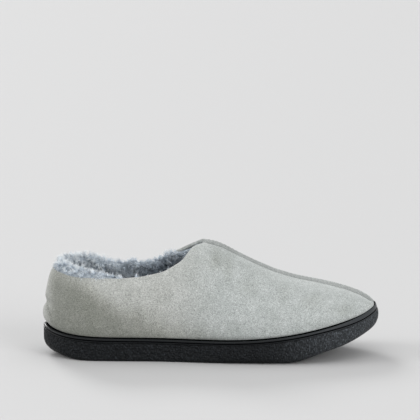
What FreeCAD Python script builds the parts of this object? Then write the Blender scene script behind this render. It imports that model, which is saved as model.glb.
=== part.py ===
import FreeCAD, Part
import Sketcher
import math
import os

# A closed-back house slipper for the right foot, in millimetres.
# +X runs to the toe, +Y to the inner (medial) side of the foot and +Z up. The origin is on the
# floor, under the middle of the sole. The lateral side faces -Y.
# A moulded rubber cup holds a stack of flat layers. The padded upper is lasted into the cup:
# two suede side panels, joined along the foot by a centre strip, over foam and a fleece lining.

Vector = FreeCAD.Vector
doc = FreeCAD.newDocument("house_slipper")

DIMENSIONS = (
    ("sole_length", 290.0, "rubber cup, heel to toe"),
    ("sole_width", 108.0, "rubber cup, across the ball of the foot"),
    ("rim_height", 18.7, "rim of the cup above the floor, at its lowest"),
    ("toe_spring", 22.0, "underside of the toe tip above the floor"),
    ("cup_wall", 4.0, "thickness of the cup's side wall"),
    ("cup_floor", 5.0, "thickness of the cup's floor"),
    ("rim_bead", 2.2, "height of the smooth bead along the rim"),
    ("rim_groove", 0.9, "height of the groove under the bead"),
    ("groove_depth", 1.0, "how far the groove goes into the wall"),
    ("tread_depth", 1.6, "depth of the slots across the tread"),
    ("tread_slot", 2.2, "width of a tread slot"),
    ("tread_pitch", 9.0, "distance from one tread slot to the next"),
    ("tread_length", 52.0, "length of a tread slot"),
    ("waist_lift", 1.2, "clearance of the sole's waist above the floor"),
    ("fit_gap", 0.1, "clearance between layers"),
    ("layer_gap", 0.2, "clearance between the layers of the upper"),
    ("wall_gap", 0.25, "clearance between the upper and the cup wall"),
    ("heel_lift", 2.5, "extra height of the midsole under the heel"),
    ("midsole_height", 3.5, "midsole thickness at the ball"),
    ("board_height", 1.5, "insole board thickness"),
    ("foam_height", 4.0, "footbed foam thickness"),
    ("cover_height", 4.0, "thickness of the fleece footbed cover"),
    ("footbed_inset", 13.4, "edge of the footbed, in from the cup's outside"),
    ("suede_skin", 1.0, "thickness of the suede"),
    ("foam_skin", 2.0, "thickness of the foam behind the suede"),
    ("stiffener_skin", 0.8, "thickness of the heel counter and toe puff"),
    ("tape_skin", 0.4, "thickness of the seam tapes"),
    ("lining_skin", 3.6, "thickness of the pressed fleece lining"),
    ("strip_width", 11.0, "width of the centre strip"),
    ("strip_sink", 0.9, "how far the strip lies below the panels"),
    ("seam_gap", 0.2, "half the gap where two panels meet"),
    ("thread", 0.5, "diameter of the sewing thread along the strip"),
    ("stitch_pitch", 3.5, "distance from one stitch to the next along the strip"),
    ("board_thread", 0.8, "diameter of the thread that joins the upper to the board"),
)

sheet = doc.addObject("Spreadsheet::Sheet", "Sheet")
for row, (alias, value, meaning) in enumerate(DIMENSIONS, start=1):
    sheet.set(f"A{row}", meaning)
    sheet.set(f"B{row}", str(value))
    sheet.setAlias(f"B{row}", alias)
doc.recompute()
size = {alias: float(sheet.get(alias)) for alias, value, meaning in DIMENSIONS}


class Bound:
    """A number together with the sheet expression that gives it."""

    def __init__(self, value, text):
        self.value = value
        self.text = text

    def __add__(self, other):
        return Bound(self.value + other.value, f"({self.text} + {other.text})")

    def __sub__(self, other):
        return Bound(self.value - other.value, f"({self.text} - {other.text})")

    def __mul__(self, factor):
        return Bound(self.value * factor, f"({self.text} * ({factor}))")


def cell(alias):
    """One dimension of the sheet."""
    return Bound(size[alias], f"Sheet.{alias}")


NOTHING = Bound(0.0, "0")
half_length = cell("sole_length") * 0.5
half_width = cell("sole_width") * 0.5

# Control points of the sole's outline, as shares of half the length and half the width. They
# start at the heel, go along the lateral side to the toe and come back along the medial side.
OUTLINE_POLES = (
    (-1.0275, 0.0), (-0.945, -0.47), (-0.772, -0.73), (-0.483, -0.73), (-0.207, -0.77),
    (0.138, -0.99), (0.51, -1.03), (0.795, -0.77), (0.978, -0.25), (1.018, 0.23),
    (0.944, 0.72), (0.70, 0.95), (0.38, 1.036), (0.055, 0.89), (-0.24, 0.68),
    (-0.55, 0.665), (-0.81, 0.68), (-0.945, 0.44),
)

# Side view of the underside: shares of half the length, and of the toe spring. It is flat
# under the heel and the ball, and rises to both ends.
UNDERSIDE = (
    (-1.04, 0.30), (-0.93, 0.13), (-0.80, 0.0), (0.47, 0.0), (0.575, 0.19),
    (0.652, 0.41), (0.77, 0.58), (0.87, 0.78), (1.04, 1.25),
)
HEEL_BREAK = 2      # the point of UNDERSIDE where the flat stretch starts

# Side view of the cup's rim: control points, as shares of half the length and of rim_height.
RIM_POLES = (
    (-1.06, 1.60), (-0.93, 1.183), (-0.70, 1.033), (-0.36, 1.045), (0.0, 1.00), (0.28, 1.078),
    (0.55, 1.365), (0.79, 1.764), (0.95, 2.074), (1.06, 2.484),
)


# ---- sketches ---------------------------------------------------------------------------

def uniform_spline(points, closed):
    """A cubic B-spline with these control points and evenly spaced knots."""
    curve = Part.BSplineCurve()
    if closed:
        count = len(points) + 1
        curve.buildFromPolesMultsKnots(points, [1] * count, list(range(count)), True, 3)
    else:
        inner = len(points) - 4
        mults = [4] + [1] * inner + [4]
        curve.buildFromPolesMultsKnots(points, mults, list(range(inner + 2)), False, 3)
    return curve


def pin(sketch, geometry, place, name, point):
    """Bind a point of a sketch to the sheet, measured from the sketch's origin."""
    for axis, amount in zip("XY", point):
        constraint = Sketcher.Constraint("Distance" + axis, -1, 1, geometry, place, amount.value)
        index = sketch.addConstraint(constraint)
        sketch.renameConstraint(index, name + axis)
        sketch.setExpression(f"Constraints.{name}{axis}", amount.text)


def flat_vector(point):
    """Where a bound point starts in its sketch."""
    return Vector(point[0].value, point[1].value, 0)


def pin_spline(sketch, points, name, closed):
    """Add a spline and bind each of its control points to the sheet."""
    curve = sketch.addGeometry(uniform_spline([flat_vector(p) for p in points], closed), False)
    first_pole = sketch.GeometryCount
    sketch.exposeInternalGeometry(curve)
    for number, point in enumerate(points):
        pin(sketch, first_pole + number, 3, f"{name}{number}", point)
    return curve


def pin_line(sketch, start, end, name):
    """Add a straight line with its start bound to the sheet."""
    line = sketch.addGeometry(Part.LineSegment(flat_vector(start), flat_vector(end)), False)
    pin(sketch, line, 1, name, start)
    return line


def inward_shifts():
    """For each control point of the outline, how far it moves when the outline shrinks by 1.

    It moves along the outline's inward normal, and a little further where the outline turns,
    so that the curve itself moves by 1.
    """
    poles = [Vector(half_length.value * x, half_width.value * y, 0) for x, y in OUTLINE_POLES]
    count = len(poles)
    normals = []
    for number in range(count):
        tangent = poles[(number + 1) % count] - poles[number - 1]
        normals.append(Vector(-tangent.y, tangent.x, 0).normalize())
    shifts = []
    for number, normal in enumerate(normals):
        mean = (normals[number - 1] + normal * 4 + normals[(number + 1) % count]) * (1 / 6)
        shifts.append(normal * (1 / mean.dot(normal)))
    return shifts


def outline_sketch(name, inset):
    """The sole's outline in plan, drawn in by an inset, on the floor."""
    sketch = doc.addObject("Sketcher::SketchObject", name)
    points = [(half_length * along + inset * shift.x, half_width * across + inset * shift.y)
              for (along, across), shift in zip(OUTLINE_POLES, inward_shifts())]
    pin_spline(sketch, points, "pole", True)
    return sketch


def underside_points(height, lift=NOTHING):
    """The underside raised by a height; a lift is added under the heel and fades to the ball."""
    points = []
    for number, (along, rise) in enumerate(UNDERSIDE):
        level = cell("toe_spring") * rise + height
        if number <= HEEL_BREAK:
            level = level + lift
        points.append((half_length * along, level))
    return points


def rim_points(drop):
    """The rim's curve, lowered by a drop."""
    return [(half_length * along, cell("rim_height") * rise - drop) for along, rise in RIM_POLES]


def side_sketch(name, lower, upper, lower_curved, upper_curved):
    """A closed side view between a lower and an upper line; each is straight runs or a spline."""
    sketch = doc.addObject("Sketcher::SketchObject", name)
    sketch.Placement = FreeCAD.Placement(Vector(), FreeCAD.Rotation(Vector(1, 0, 0), 90))
    chain = []
    for points, curved, label in ((lower, lower_curved, "low"), (upper[::-1], upper_curved, "top")):
        if curved:
            chain.append(pin_spline(sketch, points, label, False))
            continue
        for number in range(len(points) - 1):
            chain.append(pin_line(sketch, points[number], points[number + 1], f"{label}{number}"))
    toe_side = sketch.addGeometry(Part.LineSegment(flat_vector(lower[-1]), flat_vector(upper[-1])))
    heel_side = sketch.addGeometry(Part.LineSegment(flat_vector(upper[0]), flat_vector(lower[0])))
    split = 1 if lower_curved else len(lower) - 1
    loop = chain[:split] + [toe_side] + chain[split:] + [heel_side]
    if not lower_curved:
        pin(sketch, chain[split - 1], 2, "lowend", lower[-1])
    if not upper_curved:
        pin(sketch, chain[-1], 2, "topend", upper[0])
    for before, after in zip(loop, loop[1:] + loop[:1]):
        sketch.addConstraint(Sketcher.Constraint("Coincident", before, 2, after, 1))
    return sketch


# ---- prisms, slabs and their combinations -------------------------------------------------

TALL = 80.0       # higher than any layer of the sole
BROAD = 140.0     # wider than the sole


def prism(name, inset):
    """The outline, drawn in by an inset and raised to a tall prism."""
    solid = doc.addObject("Part::Extrusion", name)
    solid.Base = outline_sketch(name + "_outline", inset)
    solid.Dir = Vector(0, 0, 1)
    solid.Solid = True
    solid.LengthFwd = TALL
    return solid


def slab(name, lower, upper, lower_curved=False, upper_curved=False):
    """A side view, drawn right across the sole."""
    solid = doc.addObject("Part::Extrusion", name)
    solid.Base = side_sketch(name + "_sketch", lower, upper, lower_curved, upper_curved)
    solid.Dir = Vector(0, 1, 0)
    solid.Solid = True
    solid.Symmetric = True
    solid.LengthFwd = BROAD
    return solid


def combine(kind, name, base, tool):
    """Part::Common or Part::Cut of two objects."""
    result = doc.addObject(kind, name)
    result.Base = base
    result.Tool = tool
    return result


def layer(name, inset, height, thickness, lift_below, lift_above):
    """A flat layer inside the cup, which follows the sole's side view."""
    lower = underside_points(height, lift_below)
    upper = underside_points(height + thickness, lift_above)
    return combine("Part::Common", name, prism(name + "_prism", inset),
                   slab(name + "_slab", lower, upper))


def box(name, length, width, height, corner):
    """A box whose sizes and corner are bound to the sheet."""
    solid = doc.addObject("Part::Box", name)
    solid.setExpression("Length", length.text)
    solid.setExpression("Width", width.text)
    solid.setExpression("Height", height.text)
    for axis, amount in zip("xyz", corner):
        solid.setExpression(f"Placement.Base.{axis}", amount.text)
    return solid


# Heights of the layers above the underside.
midsole_bottom = cell("cup_floor") + cell("fit_gap")
board_bottom = midsole_bottom + cell("midsole_height") + cell("fit_gap")
foam_bottom = board_bottom + cell("board_height") + cell("fit_gap")
cover_bottom = foam_bottom + cell("foam_height") + cell("fit_gap")
cover_top = cover_bottom + cell("cover_height")
heel_lift = cell("heel_lift")

# The tread: slots across the heel and the ball, and a raised waist between them, all as shares
# of half the length.
WAIST_FROM, WAIST_TO = -0.42, -0.09
HEEL_TREAD_FROM, HEEL_TREAD_COUNT = -0.78, 6
BALL_TREAD_FROM, BALL_TREAD_COUNT = -0.04, 8


def tread_tools():
    """The slots of the tread and the raised waist, as one compound to cut away."""
    tools = [box("waist_relief", half_length * (WAIST_TO - WAIST_FROM), cell("sole_width") * 1.2,
                 cell("waist_lift"),
                 (half_length * WAIST_FROM, cell("sole_width") * -0.6, NOTHING))]
    for area, start, count in (("heel", HEEL_TREAD_FROM, HEEL_TREAD_COUNT),
                               ("ball", BALL_TREAD_FROM, BALL_TREAD_COUNT)):
        for number in range(count):
            corner = (half_length * start + cell("tread_pitch") * number,
                      cell("tread_length") * -0.5, NOTHING)
            tools.append(box(f"{area}_slot{number}", cell("tread_slot"), cell("tread_length"),
                             cell("tread_depth"), corner))
    compound = doc.addObject("Part::Compound", "tread_tools")
    compound.Links = tools
    return compound


def make_outsole():
    """The rubber cup: outer block less its hollow, the groove under the rim and the tread."""
    block = combine("Part::Common", "cup_block", prism("cup_prism", NOTHING),
                    slab("cup_slab", underside_points(NOTHING), rim_points(NOTHING),
                         upper_curved=True))
    high = [(along, level + Bound(TALL, str(TALL))) for along, level in underside_points(NOTHING)]
    hollow = combine("Part::Common", "cup_hollow", prism("hollow_prism", cell("cup_wall")),
                     slab("hollow_slab", underside_points(cell("cup_floor")), high))
    skin = combine("Part::Cut", "groove_skin", prism("groove_outer_prism", cell("groove_depth") * -2),
                   prism("groove_inner_prism", cell("groove_depth")))
    groove = combine("Part::Common", "groove", skin,
                     slab("groove_slab", rim_points(cell("rim_bead") + cell("rim_groove")),
                          rim_points(cell("rim_bead")), True, True))
    cup = combine("Part::Cut", "cup", block, hollow)
    grooved = combine("Part::Cut", "grooved_cup", cup, groove)
    return combine("Part::Cut", "outsole", grooved, tread_tools())


def make_footbed():
    """Midsole, insole board, foam and fleece cover, from the floor of the cup upwards."""
    cup_inset = cell("cup_wall") + cell("wall_gap")
    return [
        layer("eva_midsole", cup_inset, midsole_bottom, cell("midsole_height"), NOTHING,
              heel_lift),
        layer("insole_board", cup_inset, board_bottom, cell("board_height"), heel_lift, heel_lift),
        layer("footbed_foam", cell("footbed_inset"), foam_bottom, cell("foam_height"), heel_lift,
              heel_lift),
        layer("footbed_cover", cell("footbed_inset"), cover_bottom, cell("cover_height"),
              heel_lift, heel_lift),
    ]


# ---- the upper's surface ------------------------------------------------------------------
# The upper is described by sections. Each starts on the insole board, rises inside the cup and
# then follows a Bezier curve from the rim to the topline or, over the foot, to the ridge.
# A section's place is its share of the way round the outline, from the toe (0) to the heel (1).

OUTLINE_STEPS = 400

# Ridge over the foot, from the throat to the toe: position along the foot and height.
RIDGE = (
    (-6.0, 99.0), (2.0, 98.2), (11.0, 94.6), (26.0, 86.0), (43.0, 77.3), (60.5, 70.4),
    (78.0, 66.0), (95.0, 62.2), (113.0, 57.8), (128.0, 52.9), (138.0, 46.6), (142.2, 42.9),
)
RIDGE_OFFSET_THROAT, RIDGE_OFFSET_TOE = 2.0, 9.0      # towards the medial side

# Vamp sections: share of the way round, and where they meet the ridge along the foot.
VAMP = (
    (0.018, 142.1), (0.05, 137.8), (0.10, 128.5), (0.15, 116.0), (0.20, 102.0), (0.25, 87.0),
    (0.30, 71.0), (0.35, 54.5), (0.40, 37.5), (0.45, 20.5), (0.48, 8.0), (0.503, -4.0),
)

# Quarter sections: share of the way round, and the point of the topline that they reach.
LATERAL_TOPLINE = (
    (0.520, -5.5, -4.5, 98.2), (0.538, -11.0, -9.5, 97.2), (0.556, -16.5, -14.2, 95.4),
    (0.570, -19.3, -17.2, 92.2), (0.60, -25.5, -22.8, 84.6), (0.65, -41.0, -28.5, 76.0),
    (0.70, -61.0, -31.0, 71.5), (0.75, -79.0, -31.5, 70.2), (0.80, -96.0, -30.8, 70.5),
    (0.85, -111.0, -28.0, 71.8), (0.90, -123.5, -21.5, 73.6), (0.95, -132.3, -11.5, 75.8), (1.00, -135.5, 0.0, 77.0),
)
MEDIAL_TOPLINE = (
    (0.520, -7.0, 9.5, 98.3), (0.540, -11.5, 13.0, 96.2), (0.565, -18.0, 16.5, 93.0),
    (0.60, -29.0, 21.0, 87.0), (0.65, -45.0, 25.5, 77.2), (0.70, -62.0, 28.0, 72.8),
    (0.75, -79.0, 28.8, 72.4), (0.80, -96.0, 28.4, 72.3), (0.85, -111.0, 26.0, 73.6),
    (0.90, -123.5, 20.0, 75.2), (0.95, -132.3, 10.5, 76.6), (1.00, -135.5, 0.0, 77.0),
)

RIM_LEAN_HEEL, RIM_LEAN_TOE = 6.5, 3.0      # how far the upper leans out over the rim
COLLAR_ROLL = 5.0                           # how far the collar bulges out below the topline


def blend(low, high, value):
    """0 below low, 1 above high, and a smooth step between."""
    share = min(max((value - low) / (high - low), 0.0), 1.0)
    return share * share * (3 - 2 * share)


def between(table, value):
    """The second column of a table, interpolated along its first column."""
    rising = sorted(table)
    if value <= rising[0][0]:
        return rising[0][1]
    for (start, level), (end, next_level) in zip(rising, rising[1:]):
        if value <= end:
            return level + (next_level - level) * (value - start) / (end - start)
    return rising[-1][1]


def smooth_between(table, value):
    """Like between, but rounded where the table bends."""
    reach = 5.0
    samples = [between(table, value + reach * step / 2) for step in (-2, -1, 0, 1, 2)]
    return sum(samples) / len(samples)


def ridge_side(along):
    """The ridge's position across the foot."""
    share = (along - RIDGE[0][0]) / (RIDGE[-1][0] - RIDGE[0][0])
    return RIDGE_OFFSET_THROAT + (RIDGE_OFFSET_TOE - RIDGE_OFFSET_THROAT) * share


def underside_height(along):
    """Height of the cup's underside."""
    table = [(size["sole_length"] / 2 * x, size["toe_spring"] * z) for x, z in UNDERSIDE]
    return between(table, along)


def board_top(along):
    """Height of the insole board's upper face."""
    half = size["sole_length"] / 2
    heel, ball = UNDERSIDE[HEEL_BREAK][0] * half, UNDERSIDE[HEEL_BREAK + 1][0] * half
    lift = size["heel_lift"] * min(max((ball - along) / (ball - heel), 0.0), 1.0)
    return underside_height(along) + board_bottom.value + size["board_height"] + lift


rim_curve = uniform_spline([flat_vector(point) for point in rim_points(NOTHING)], False)
rim_table = [(point.x, point.y) for point in rim_curve.discretize(Number=60)]


class Side:
    """One half of the outline, from the toe tip to the middle of the heel."""

    def __init__(self, sign, topline):
        self.sign = sign
        self.topline = topline
        points = [flat_vector((half_length * x, half_width * y)) for x, y in OUTLINE_POLES]
        loop = uniform_spline(points, True).discretize(Number=2 * OUTLINE_STEPS + 1)[:-1]
        toe = max(range(len(loop)), key=lambda k: loop[k].x)
        heel = min(range(len(loop)), key=lambda k: loop[k].x)
        step = 1 if sign > 0 else -1
        count = (step * (heel - toe)) % len(loop)
        self.points = [loop[(toe + step * k) % len(loop)] for k in range(count + 1)]
        self.inward = [self.inward_normal(loop, (toe + step * k) % len(loop))
                       for k in range(count + 1)]

    @staticmethod
    def inward_normal(loop, index):
        """The normal of the outline towards the inside; the loop runs anticlockwise."""
        tangent = loop[(index + 1) % len(loop)] - loop[index - 1]
        normal = Vector(-tangent.y, tangent.x, 0)
        return normal.normalize()

    def base(self, share):
        """A point of the outline and its inward normal, by its share of the way round."""
        place = share * (len(self.points) - 1)
        first = min(int(place), len(self.points) - 2)
        rest = place - first
        point = self.points[first] * (1 - rest) + self.points[first + 1] * rest
        normal = self.inward[first] * (1 - rest) + self.inward[first + 1] * rest
        return point, normal.normalize()

    def stations(self):
        """Every section: share of the way round and the point that it reaches."""
        sections = [(share, Vector(along, ridge_side(along), smooth_between(RIDGE, along)))
                    for share, along in VAMP]
        sections += [(share, Vector(x, y, z)) for share, x, y, z in self.topline]
        return sections

    def target(self, share):
        """The point that any section reaches, between the tabled ones."""
        sections = self.stations()
        for (start, point), (end, next_point) in zip(sections, sections[1:]):
            if share <= end:
                part = (share - start) / (end - start)
                return point * (1 - part) + next_point * part
        return sections[-1][1]

    def section(self, share):
        """The four points of a section's Bezier curve, and the foot of its upright stretch."""
        edge, inward = self.base(share)
        rim = edge + inward * (size["cup_wall"] + size["wall_gap"])
        foot = Vector(rim.x, rim.y, board_top(rim.x) + size["fit_gap"])
        rim.z = between(rim_table, edge.x) - 1.0
        top = self.target(share)
        rise = top.z - rim.z
        across = Vector(rim.x - top.x, rim.y - top.y, 0)
        quarter = blend(0.45, 0.63, share)
        lean = RIM_LEAN_TOE + (RIM_LEAN_HEEL - RIM_LEAN_TOE) * blend(0.0, 0.9, share)
        lean = min(lean, rise * 0.8)
        lower_pull = rise * (0.42 - 0.17 * quarter)
        lower = rim - inward * lean + Vector(0, 0, lower_pull)
        outward = across.Length * (0.5 + 0.5 * quarter) + COLLAR_ROLL * quarter
        upper = top + across.normalize() * outward
        upper = upper + Vector(0, 0, -rise * 0.2 * quarter)
        return foot, (rim, lower, upper, top)


def bezier(points, share):
    """A point of a cubic Bezier curve; shares above 1 run straight on along its end."""
    rim, lower, upper, top = points
    if share > 1:
        return top + (top - upper) * (3 * (share - 1) * 0.6) + Vector(0, 0, 14 * (share - 1))
    rest = 1 - share
    return (rim * rest ** 3 + lower * (3 * share * rest ** 2)
            + upper * (3 * share ** 2 * rest) + top * share ** 3)


def edge_share(side, share, clear):
    """How far up a section its point stays a distance clear of the ridge's middle line."""
    foot, points = side.section(share)
    low, high = 0.0, 1.0
    if share > VAMP[-1][0]:
        return 1.0
    for halving in range(24):
        middle = (low + high) / 2
        point = bezier(points, middle)
        if side.sign * (point.y - ridge_side(point.x)) > clear:
            low = middle
        else:
            high = middle
    return max(low, 0.12)


# Rows of a section: a negative number is inside the cup, the others are shares of the curve.
CUP_ROWS = (-1.0, -0.75, -0.5, -0.25, -0.06)


def surface_point(side, share, row, limit=1.0):
    """A point of the upper's outer surface; rows above the rim are scaled by a limit."""
    foot, points = side.section(share)
    if row < 0:
        return points[0] * (1 + row) - foot * row
    return bezier(points, row * limit)


def surface_normal(side, share, row, limit=1.0):
    """The direction into the slipper at a point of the outer surface."""
    nudge = 0.004
    before, after = max(share - nudge, 0.0), min(share + nudge, 1.0)
    along = (surface_point(side, after, row, limit) - surface_point(side, before, row, limit))
    lower_row = row if row < 0.03 else row - 0.02
    up = (surface_point(side, share, lower_row + 0.02, limit)
          - surface_point(side, share, lower_row, limit))
    normal = along.cross(up) * -side.sign
    return normal.normalize()


def toe_thinning(share):
    """How much of each inner layer is left: all of it, but less at the toe tip."""
    return 0.45 + 0.55 * blend(0.0, 0.10, share)


def sheet_grid(side, shares, rows, depth, clear=None):
    """Points of one face of a layer, at a depth below the outer surface."""
    grid = []
    for share in shares:
        limit = 1.0 if clear is None else edge_share(side, share, clear)
        column = []
        for row in rows:
            wanted = depth(share, row) if callable(depth) else depth
            skin = size["suede_skin"]
            if wanted > skin:
                wanted = skin + (wanted - skin) * toe_thinning(share)
            point = surface_point(side, share, row, limit)
            normal = surface_normal(side, share, row, limit)
            column.append(point + normal * wanted)
        grid.append(column)
    return grid


def flatten_heel_end(grid, side):
    """Bring the last column to the seam plane in the middle of the heel."""
    for point in grid[-1]:
        point.y = side.sign * size["seam_gap"]
    return grid


def spline_face(grid):
    """A smooth face through a grid of points."""
    surface = Part.BSplineSurface()
    surface.interpolate(grid)
    return surface


def border(surface, side_name):
    """One edge of a spline surface's border."""
    first_u, last_u, first_v, last_v = surface.bounds()
    if side_name == "start":
        return surface.uIso(first_u).toShape()
    if side_name == "end":
        return surface.uIso(last_u).toShape()
    if side_name == "bottom":
        return surface.vIso(first_v).toShape()
    return surface.vIso(last_v).toShape()


def shell_solid(outer_grid, inner_grid):
    """A closed solid between two spline faces, with ruled faces along its four borders."""
    outer, inner = spline_face(outer_grid), spline_face(inner_grid)
    faces = [outer.toShape(), inner.toShape()]
    for side_name in ("start", "end", "bottom", "top"):
        faces.append(Part.makeRuledSurface(border(outer, side_name), border(inner, side_name)))
    shell = Part.Shell(faces)
    shell.sewShape(0.001)
    solid = Part.Solid(Part.Shell(shell.Faces))
    if solid.Volume < 0:
        solid.reverse()
    return solid


def feature(name, shape):
    """A sub-part whose shape is worked out from the sheet's dimensions."""
    part = doc.addObject("Part::Feature", name)
    part.Shape = shape
    part.Placement = FreeCAD.Placement()
    return part


lateral = Side(-1, LATERAL_TOPLINE)
medial = Side(1, MEDIAL_TOPLINE)
SIDES = (("lateral", lateral), ("medial", medial))

# Depths of the layers below the outer surface.
gap = size["layer_gap"]
FOAM_TOP = size["suede_skin"] + gap
FOAM_BACK = FOAM_TOP + size["foam_skin"]
STIFFENER_TOP = FOAM_BACK + 2 * gap
STIFFENER_BACK = STIFFENER_TOP + size["stiffener_skin"]
LINING_TOP = STIFFENER_BACK + gap
LINING_BACK = LINING_TOP + size["lining_skin"]

PANEL_SHARES = ((0.018, 0.028, 0.04, 0.055) + tuple(0.07 + 0.02 * k for k in range(21))
                + (0.485, 0.503, 0.52, 0.535, 0.55, 0.57) + tuple(0.59 + 0.02 * k for k in range(20))
                + (0.985, 1.0))
FOAM_SHARES = PANEL_SHARES[3:]          # the foam and the lining stop short of the toe tip
LINING_SHARES = PANEL_SHARES[5:]
PANEL_ROWS = CUP_ROWS + (0.06, 0.13, 0.21, 0.30, 0.40, 0.50, 0.60, 0.70, 0.79, 0.86, 0.91, 0.95, 1.0)
FOAM_ROWS = PANEL_ROWS[:-2]
LINING_RISE = 0.2                # how far the lining runs on past the topline
COLLAR_DEPTH = 2.0               # depth of the lining's face above the topline
THROAT_END = 0.56                # up to here the lining's halves face each other over the foot


def make_panel(name, side):
    """A suede side panel, from the toe to the heel seam."""
    clear = size["strip_width"] / 2 + gap
    outer = sheet_grid(side, PANEL_SHARES, PANEL_ROWS, 0.0, clear)
    inner = sheet_grid(side, PANEL_SHARES, PANEL_ROWS, size["suede_skin"], clear)
    return feature(name, shell_solid(flatten_heel_end(outer, side),
                                     flatten_heel_end(inner, side)))


def make_foam(name, side):
    """The foam behind a suede panel, which stops short of the collar's folded edge."""
    clear = size["strip_width"] / 2 + gap
    outer = sheet_grid(side, FOAM_SHARES, FOAM_ROWS, FOAM_TOP, clear)
    inner = sheet_grid(side, FOAM_SHARES, FOAM_ROWS, FOAM_BACK, clear)
    return feature(name, shell_solid(flatten_heel_end(outer, side),
                                     flatten_heel_end(inner, side)))


def lining_limit(side, share):
    """The lining meets its other half over the foot, and rises above the suede at the collar."""
    over_foot = edge_share(side, share, size["seam_gap"])
    if over_foot < 1:
        return over_foot
    return 1 + LINING_RISE * blend(0.515, 0.58, share)


def lining_grid(side, depth):
    """Points of one face of the lining."""
    grid = []
    for share in LINING_SHARES:
        limit = lining_limit(side, share)
        column = []
        for row in PANEL_ROWS:
            wanted = depth
            if row * limit > 1.05 and depth == LINING_TOP:
                wanted = COLLAR_DEPTH
            wanted = size["suede_skin"] + (wanted - size["suede_skin"]) * toe_thinning(share)
            point = surface_point(side, share, row, limit)
            column.append(point + surface_normal(side, share, row, limit) * wanted)
        if share <= THROAT_END:
            keep_off_ridge(column, side, size["seam_gap"] + 0.8 * blend(0.44, 0.50, share))
        grid.append(column)
    return grid


def keep_off_ridge(column, side, wanted):
    """Hold the points of a column on their own side of the seam over the foot."""
    for point in column:
        clear = side.sign * (point.y - ridge_side(point.x))
        if clear < wanted:
            point.y += side.sign * (wanted - clear)


def make_lining(name, side):
    """One half of the fleece lining, from the toe to the heel seam."""
    outer = flatten_heel_end(lining_grid(side, LINING_TOP), side)
    inner = flatten_heel_end(lining_grid(side, LINING_BACK), side)
    return feature(name, shell_solid(outer, inner))


def wrap_grid(shares, rows, depth):
    """Columns along the lateral side, round the heel and back along the medial side."""
    one_side = sheet_grid(lateral, shares, rows, depth)
    other_side = sheet_grid(medial, shares[:-1], rows, depth)
    for point in one_side[-1]:
        point.y = 0.0
    return one_side + other_side[::-1]


def wrap_solid(name, shares, rows, top, back):
    """A stiffener or tape that runs round the heel between two depths."""
    return feature(name, shell_solid(wrap_grid(shares, rows, top), wrap_grid(shares, rows, back)))


def arch_grid(shares, rows, depth):
    """Columns that run up one side, over the ridge and down the other side."""
    grid = []
    for share in shares:
        left = sheet_grid(lateral, (share,), rows, depth, 0.5)[0]
        right = sheet_grid(medial, (share,), rows, depth, 0.5)[0]
        grid.append(left + right[::-1])
    return grid


PUFF_FROM, PUFF_TO = 0.10, 0.22           # the stiffener's reach from the toe
COUNTER_FROM = 0.80                       # the heel counter's front edge
COUNTER_ROWS = PANEL_ROWS[1:12]           # and how far up it goes


def make_toe_puff():
    """The stiffener over the toes, which runs from side to side under the centre strip."""
    shares = [share for share in PANEL_SHARES if PUFF_FROM <= share <= PUFF_TO]
    rows = PANEL_ROWS[1:]
    return feature("toe_puff", shell_solid(arch_grid(shares, rows, STIFFENER_TOP),
                                           arch_grid(shares, rows, STIFFENER_BACK)))


STRIP_START = -5.0                # the throat end of the centre strip


def strip_path(extra_depth):
    """The strip's middle line, along the ridge and down into the cup at the toe."""
    sink = size["strip_sink"] + extra_depth
    tip = lateral.base(0.0)[0].x - size["cup_wall"] - size["wall_gap"] - 0.8 - extra_depth
    floor = board_top(tip) + gap + 0.4
    path = []
    count = 15
    for step in range(count + 1):
        along = STRIP_START + (140.5 - STRIP_START) * step / count
        path.append((along, smooth_between(RIDGE, along)))
    lowered = []
    for number, (along, level) in enumerate(path):
        before, after = path[max(number - 1, 0)], path[min(number + 1, count)]
        run, fall = after[0] - before[0], after[1] - before[1]
        length = math.hypot(run, fall)
        lowered.append((along + sink * fall / length, level - sink * run / length))
    lowered += [(tip + 0.35, 41.9 - extra_depth), (tip, 38.5), (tip, floor)]
    return lowered


def strip_grid(extra_depth):
    """The strip's face: its middle line, spread across and bent slightly down at the edges."""
    half = size["strip_width"] / 2 - gap
    grid = []
    for along, level in strip_path(extra_depth):
        column = []
        for across in (-1.0, -0.5, 0.0, 0.5, 1.0):
            drop = 0.3 * across * across
            column.append(Vector(along - drop, ridge_side(along) + half * across, level - drop))
        grid.append(column)
    return grid


def make_strip(name, top, back):
    """A band along the ridge between two depths below its own surface."""
    return feature(name, shell_solid(strip_grid(top), strip_grid(back)))


def rod(start, end, diameter):
    """One stitch: a short piece of thread."""
    run = end - start
    return Part.makeCylinder(diameter / 2, run.Length, start, run)


def make_strip_stitches(name, sign):
    """A row of stitches along one edge of the centre strip, just above it."""
    from_edge = 1.1
    above = size["thread"] / 2 + 0.05
    across = sign * (size["strip_width"] / 2 - from_edge)
    stitch = size["stitch_pitch"] * 0.65
    path = [(along, level) for along, level in strip_path(-above) if along < 137]
    stitches = []
    along = path[0][0] + 1.0
    while along + stitch < path[-1][0]:
        ends = [Vector(x, ridge_side(x) + across, between(path, x)) for x in (along, along + stitch)]
        stitches.append(rod(ends[0], ends[1], size["thread"]))
        along += size["stitch_pitch"]
    return feature(name, Part.makeCompound(stitches))


def make_board_stitches():
    """The seam round the board: stitches between the lining's foot and the footbed."""
    stitches = []
    spacing = 0.03
    inset = size["footbed_inset"] - 0.65
    for sign, side in ((-1, lateral), (1, medial)):
        share = 0.12
        while share < 0.985:
            ends = []
            for place in (share, share + spacing * 0.6):
                point, inward = side.base(place)
                end = point + inward * inset
                end.z = board_top(end.x) + gap + size["board_thread"] / 2 + 0.15
                ends.append(end)
            stitches.append(rod(ends[0], ends[1], size["board_thread"]))
            share += spacing
    return feature("board_stitching", Part.makeCompound(stitches))


TAPE_FROM = 0.535                         # the topline tape's front end


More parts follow.
